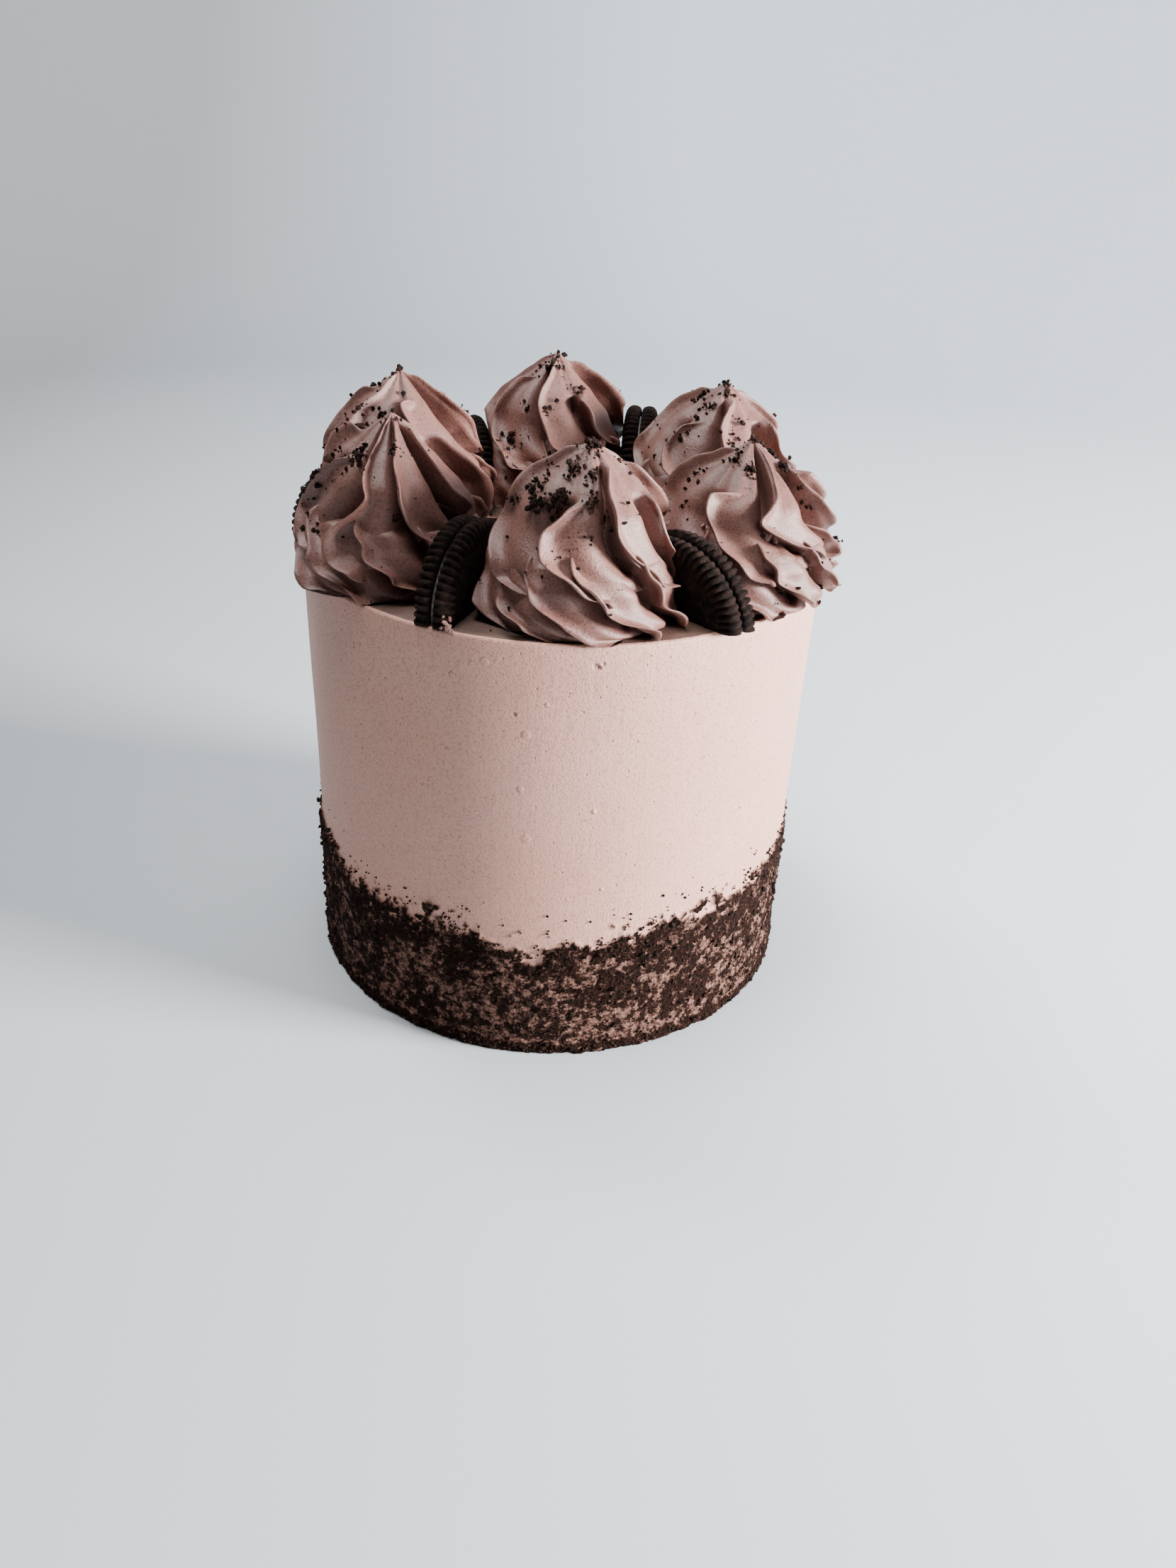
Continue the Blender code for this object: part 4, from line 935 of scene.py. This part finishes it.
def makeToppingCrumbs():
    rng = np.random.default_rng(31)
    spots, normals, sizes = [], [], []
    t = toppingCrumbs
    for name, piece in swirlPieces.items():
        swirl = swirls[name]
        points = np.array([tuple(v.co) for v in piece.data.vertices])
        facing = np.array([tuple(v.normal) for v in piece.data.vertices])
        up = np.clip((points[:, 2] - cakeTop) / swirl["height"], 0, 1)
        exposed = np.clip(facing[:, 2] + 0.35, 0, 1)
        exposed = exposed * np.clip(facing @ np.array([-0.5, -0.1, 0.85]) + 0.25, 0, 1)
        exposed = exposed * np.hypot(*(points[:, :2] - axis - swirl["at"]).T) / swirl["radius"]
        weight = exposed * (0.08 + up ** 1.6)
        peak = int(points[:, 2].argmax())
        centres = [peak] + list(rng.choice(len(points), t["clusters"], p=weight / weight.sum()))
        shares = 0.04 + 0.13 * rng.beta(1.0, 2.0, len(centres))
        weight = exposed * up ** 0.9
        weight *= t["evenShare"] / weight.sum()
        for k, centre in enumerate(centres):
            spread = (t["peakSpread"] if k == 0 else rng.uniform(*t["spreads"])) * mm
            near = exposed * np.exp(-(((points - points[centre]) ** 2).sum(1)) / (2 * spread ** 2))
            weight += near / near.sum() * (t["peakShare"] if k == 0 else shares[k])
        picked = rng.choice(len(points), t["perSwirl"], p=weight / weight.sum(), replace=False)
        heaped = []
        for x, y, z, count, spread in heaps[name]:
            centre = np.array([*axis, cakeTop]) + np.array([x, y, z]) * mm
            near = (exposed + 0.02) * np.exp(-(((points - centre) ** 2).sum(1)) / (2 * (spread * mm) ** 2))
            heaped.append(rng.choice(len(points), count, p=near / near.sum()))
        heaped = np.concatenate(heaped)
        # The random step leaves some of them a little clear of the cream
        for chosen, kind in ((picked, "sizes"), (heaped, "clusterSizes")):
            low, high = t[kind]
            jitter = rng.normal(0, t["jitter"], (len(chosen), 3))
            spots.append(points[chosen] + jitter)
            normals.append(facing[chosen])
            sizes.append((low + (high - low) * rng.beta(1.0, 4.6, len(chosen))) * mm)
    angle = rng.uniform(0, 2 * math.pi, t["onTop"])
    out = t["topReach"] * np.sqrt(rng.uniform(0, 1, len(angle)))
    across, along = axis[0] + out * np.cos(angle), axis[1] + out * np.sin(angle)
    spots.append(np.stack([across, along, 0 * out + cakeTop], -1))
    normals.append(np.tile([0.0, 0.0, 1.0], (len(angle), 1)))
    sizes.append(rng.uniform(*t["topSizes"], len(angle)) * mm)
    crumbPiece("toppingCrumbs", *[np.concatenate(parts) for parts in (spots, normals, sizes)], seed=32,
               fineFrom=0.55 * mm, sink=0.2)


makeToppingCrumbs()

# Dabs of buttercream for the front cookies: place from the cake's axis and top (mm), facing, size (mm).
# Those of the right one lie inside its cream.
rightFacing = (-0.64, -0.71, 0.28)
creamDabs = (
    ((-29.2, -71.4, 0.9), (0.3, -0.9, 0.3), 1.15), ((-30.0, -71.8, 2.3), (0.26, -0.9, 0.35), 1.0),
    ((-28.7, -70.6, 2.6), (0.4, -0.5, 0.8), 0.75), ((-28.3, -72.0, 0.3), (0.1, -0.9, 0.3), 0.9),
    ((-30.6, -71.4, 0.8), (0.0, -1.0, 0.2), 0.8), ((-30.3, -71.2, 3.6), (0.2, -0.8, 0.5), 0.5),
    ((35.6, -54.9, 10.8), rightFacing, 0.45), ((33.8, -54.0, 8.9), rightFacing, 0.35),
    ((36.9, -56.8, 8.8), rightFacing, 0.38), ((38.3, -58.5, 7.7), rightFacing, 0.28),
    ((34.9, -55.2, 9.6), rightFacing, 0.3), ((36.4, -55.6, 10.4), rightFacing, 0.22))


def makeCreamDabs():
    places, facing, sizes = (np.array(row) for row in zip(*creamDabs))
    spots = places * mm + np.array([*axis, cakeTop])
    crumbPiece("creamDabs", spots, facing, sizes * mm, seed=41, fineFrom=0.0, material=pipedCream,
               slot="piped_buttercream")


makeCreamDabs()


# Pale floor that curves up all round, with painted shade to the left and where the curve rises on the
# camera's side, soft light and the camera

# The two darker tones are painted shade: to the left, and where the curve rises on the camera's side
studio = dict(floor="#C2C9CE", floorShadedLeft="#8E9091", shade="#2E3032", ambient="#DCCBBB",
              ambientStrength=0.018,
              floorRadius=0.9, curve=0.8, wallTop=3.0, sides=96)


def makeStudio():
    paint, add, place = newMaterial("matPaint")
    along = add("SeparateXYZ", {0: place}).node.outputs
    # Painted shade: the floor and its curve turn darker to the left, and dark grey where the curve rises on
    # the camera's side
    raised = add("MapRange", {"Value": along["Z"], "From Min": 0.0, "From Max": 0.25})
    before = add("MapRange", {"Value": along["Y"], "From Min": 0.8, "From Max": -0.1})
    shaded = add("Math", {0: raised, 1: before}, operation="MULTIPLY")
    shadeLeftward = add("MapRange", {"Value": along["X"], "From Min": 0.15, "From Max": -0.45})
    pale = add("Mix", {0: shadeLeftward, 6: studio["floor"], 7: studio["floorShadedLeft"]})
    tone = add("Mix", {0: shaded, 6: pale, 7: studio["shade"]})
    closeMaterial(paint, {"Base Color": tone, "Roughness": 0.9})
    floor, curve, sides = studio["floorRadius"], studio["curve"], studio["sides"]
    profile = [(0.0, 0.0), (floor / 3, 0.0), (floor, 0.0)]
    for a in np.linspace(0.1, math.pi / 2, 14):
        profile.append((floor + curve * math.sin(a), curve - curve * math.cos(a)))
    profile.append((floor + curve, studio["wallTop"]))
    turn = np.arange(sides) * 2 * math.pi / sides
    points = [(out * math.cos(a), out * math.sin(a), z - 0.05 * mm) for out, z in profile for a in turn]
    newPiece("studioFloor", points, ringFaces(len(profile), sides), paint)

    world = bpy.data.worlds.new("softRoom")
    bpy.context.scene.world = world
    world.use_nodes = True
    ambient = world.node_tree.nodes["Background"].inputs
    ambient[0].default_value = linear(studio["ambient"])
    ambient[1].default_value = studio["ambientStrength"]
    for name, place, target, size, power, colour in (
            ("windowRight", (1.41, -0.38, 0.35), (0, 0, 0.07), 0.50, 222.0, "#FDFBFA"),
            ("skyAbove", (-0.12, -0.08, 1.0), (0, 0, 0.14), 0.28, 7.0, "#FFFDFA"),
            ("skyLeft", (-0.40, 0.34, 1.0), (0, 0, 0.14), 0.22, 6.5, "#FFFDFA"),
            ("wallWash", (0.0, 0.7, 2.2), (0, 1.6, 0.4), 1.2, 24.0, "#DDEBFF")):
        light = bpy.data.lights.new(name, "AREA")
        light.shape = "SQUARE"
        light.size = size
        light.energy = power
        light.color = linear(colour)[:3]
        lamp = bpy.data.objects.new(name, light)
        lamp.location = place
        lamp.rotation_euler = (Vector(target) - Vector(place)).to_track_quat("-Z", "Y").to_euler()
        bpy.context.scene.collection.objects.link(lamp)


# The photo's camera: turns in degrees, place from the cake's axis in mm, sensor height and lens in mm
view = dict(pitch=29.98, yaw=2.021, roll=3.081, place=(-1.77, -371.94, 264.91), sensor=36.0, lens=29.127)


def makeCamera():
    pitch, yaw, roll = (math.radians(view[key]) for key in ("pitch", "yaw", "roll"))
    ahead = Vector((math.sin(yaw) * math.cos(pitch), math.cos(yaw) * math.cos(pitch), -math.sin(pitch)))
    level = Vector((math.cos(yaw), -math.sin(yaw), 0.0))
    upright = level.cross(ahead)
    right = math.cos(roll) * level + math.sin(roll) * upright
    up = math.cos(roll) * upright - math.sin(roll) * level
    turn = Matrix((right, up, -ahead)).transposed()
    lens = bpy.data.cameras.new("camera")
    lens.sensor_fit = "VERTICAL"
    lens.sensor_height = view["sensor"]
    lens.lens = view["lens"]
    lens.clip_start = 0.01
    camera = bpy.data.objects.new("camera", lens)
    x, y, z = view["place"]
    place = Vector((axis[0] + x * mm, axis[1] + y * mm, z * mm))
    camera.matrix_world = Matrix.Translation(place) @ turn.to_4x4()
    bpy.context.scene.collection.objects.link(camera)
    bpy.context.scene.camera = camera


makeStudio()
makeCamera()
print("studio and camera made")
